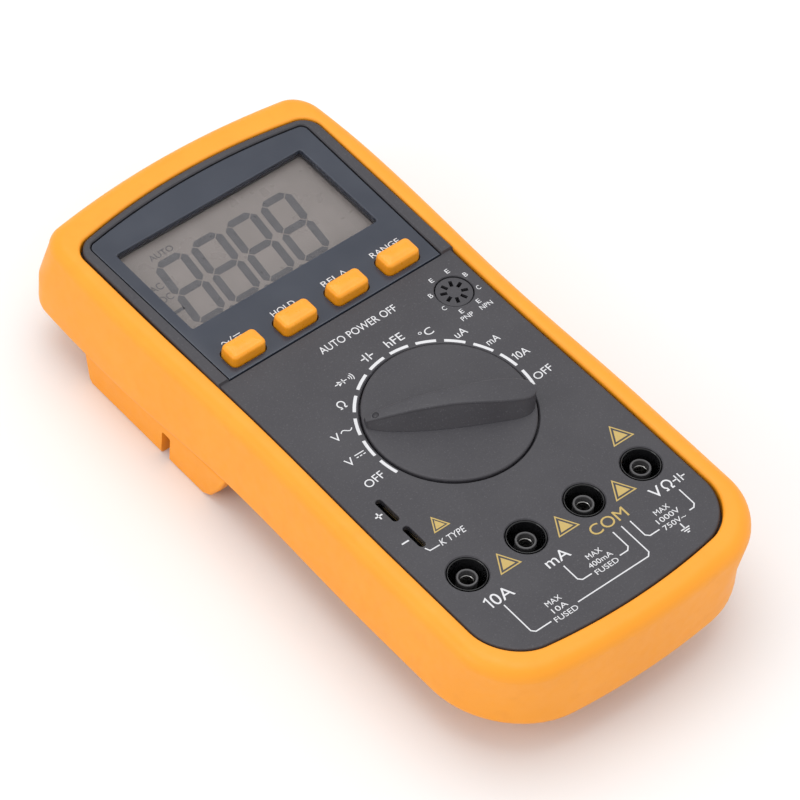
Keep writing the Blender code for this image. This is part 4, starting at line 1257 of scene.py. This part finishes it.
def build_stand():
    """The bail: a shallow tray with rounded rims and three ribs across it."""
    y, z = STAND_PIVOT
    box_low = low("tilt_stand")
    deep = 9.0
    stand = block("bail", (-STAND_X, STAND_X), (box_low.y, y), (box_low.z, deep), 1.0, 4)
    barrel = rod("bail_barrel", (-STAND_X, y, z), (STAND_X, y, z), STAND_BARREL_R, 64)
    join(stand, barrel)
    tray = block("bail_tray", (-STAND_X + 2.4, STAND_X - 2.4), (box_low.y + 2.4, 0.4), (2.6, 14.0), 0.8)
    cut(stand, tray)
    ribs = []
    rib_x = (-STAND_X + 2.0, STAND_X - 2.0)
    for index, rib_y in enumerate((-48.0, -32.0, -16.0)):
        ribs.append(block(f"bail_rib_{index}", rib_x, (rib_y - 0.8, rib_y + 0.8), (2.0, 6.0)))
    join(stand, *ribs)
    holes = []
    for side in (-1, 1):
        reach = (side * (STAND_X - 6.0), side * (STAND_X + 5.0))
        holes.append(rod(f"bail_hole_{side}", (reach[0], y, z), (reach[1], y, z), HINGE_HOLE_R, 32))
    cut(stand, *holes)
    dress(stand, PANEL, "stand", ["tilt_stand"])


# Floor, light and camera


def build_floor():
    shape = bmesh.new()
    bmesh.ops.create_grid(shape, x_segments=8, y_segments=8, size=FLOOR_HALF)
    floor = solid("floor", shape)
    floor.data.materials.append(floor_paint())


def area_light(name, place, target, size, power):
    """A round soft light of the given size in metres and power in watts."""
    data = bpy.data.lights.new(name, "AREA")
    data.shape = "DISK"
    data.size = size
    data.energy = power
    lamp = place_new(name, data)
    lamp.location = place
    lamp.rotation_mode = "QUATERNION"
    lamp.rotation_quaternion = (Vector(target) - Vector(place)).to_track_quat("-Z", "Y")


def build_light():
    world = bpy.data.worlds.new("studio")
    world.use_nodes = True
    sky = world.node_tree.nodes["Background"]
    sky.inputs["Color"].default_value = (1.0, 1.0, 1.0, 1.0)
    sky.inputs["Strength"].default_value = 0.88
    bpy.context.scene.world = world
    area_light("overhead", (0.1, 0.25, 1.5), (0.0, 0.0, 0.03), 1.5, 9.0)
    area_light("side", (-1.3, 0.3, 0.8), (0.0, 0.0, 0.03), 0.8, 3.0)


def build_camera():
    """At the angle the product is seen from: over its lower left corner, with a long lens."""
    azimuth = math.radians(44.38)
    down = math.radians(49.77)
    roll = math.radians(5.39)
    aim = Vector((-0.0050, -0.0063, 0.035))
    distance = 1.2562
    look = Vector(
        (math.sin(azimuth) * math.cos(down), math.cos(azimuth) * math.cos(down), -math.sin(down))
    )
    data = bpy.data.cameras.new("camera")
    data.lens = 226.2
    data.sensor_width = 36.0
    data.clip_start = 0.05
    data.clip_end = 20.0
    camera = place_new("camera", data)
    camera.location = aim - look * distance
    level = look.to_track_quat("-Z", "Y").to_matrix()
    camera.rotation_mode = "QUATERNION"
    camera.rotation_quaternion = (level @ Matrix.Rotation(roll, 3, "Z")).to_quaternion()
    bpy.context.scene.camera = camera


bpy.context.scene.view_settings.view_transform = "Standard"
finish_cad_nodes()
build_holster()
build_front_case()
build_fascia()
build_lcd_marks()
build_print()
build_buttons()
build_selector()
build_jacks()
build_transistor_socket()
build_stand()
build_floor()
build_light()
build_camera()
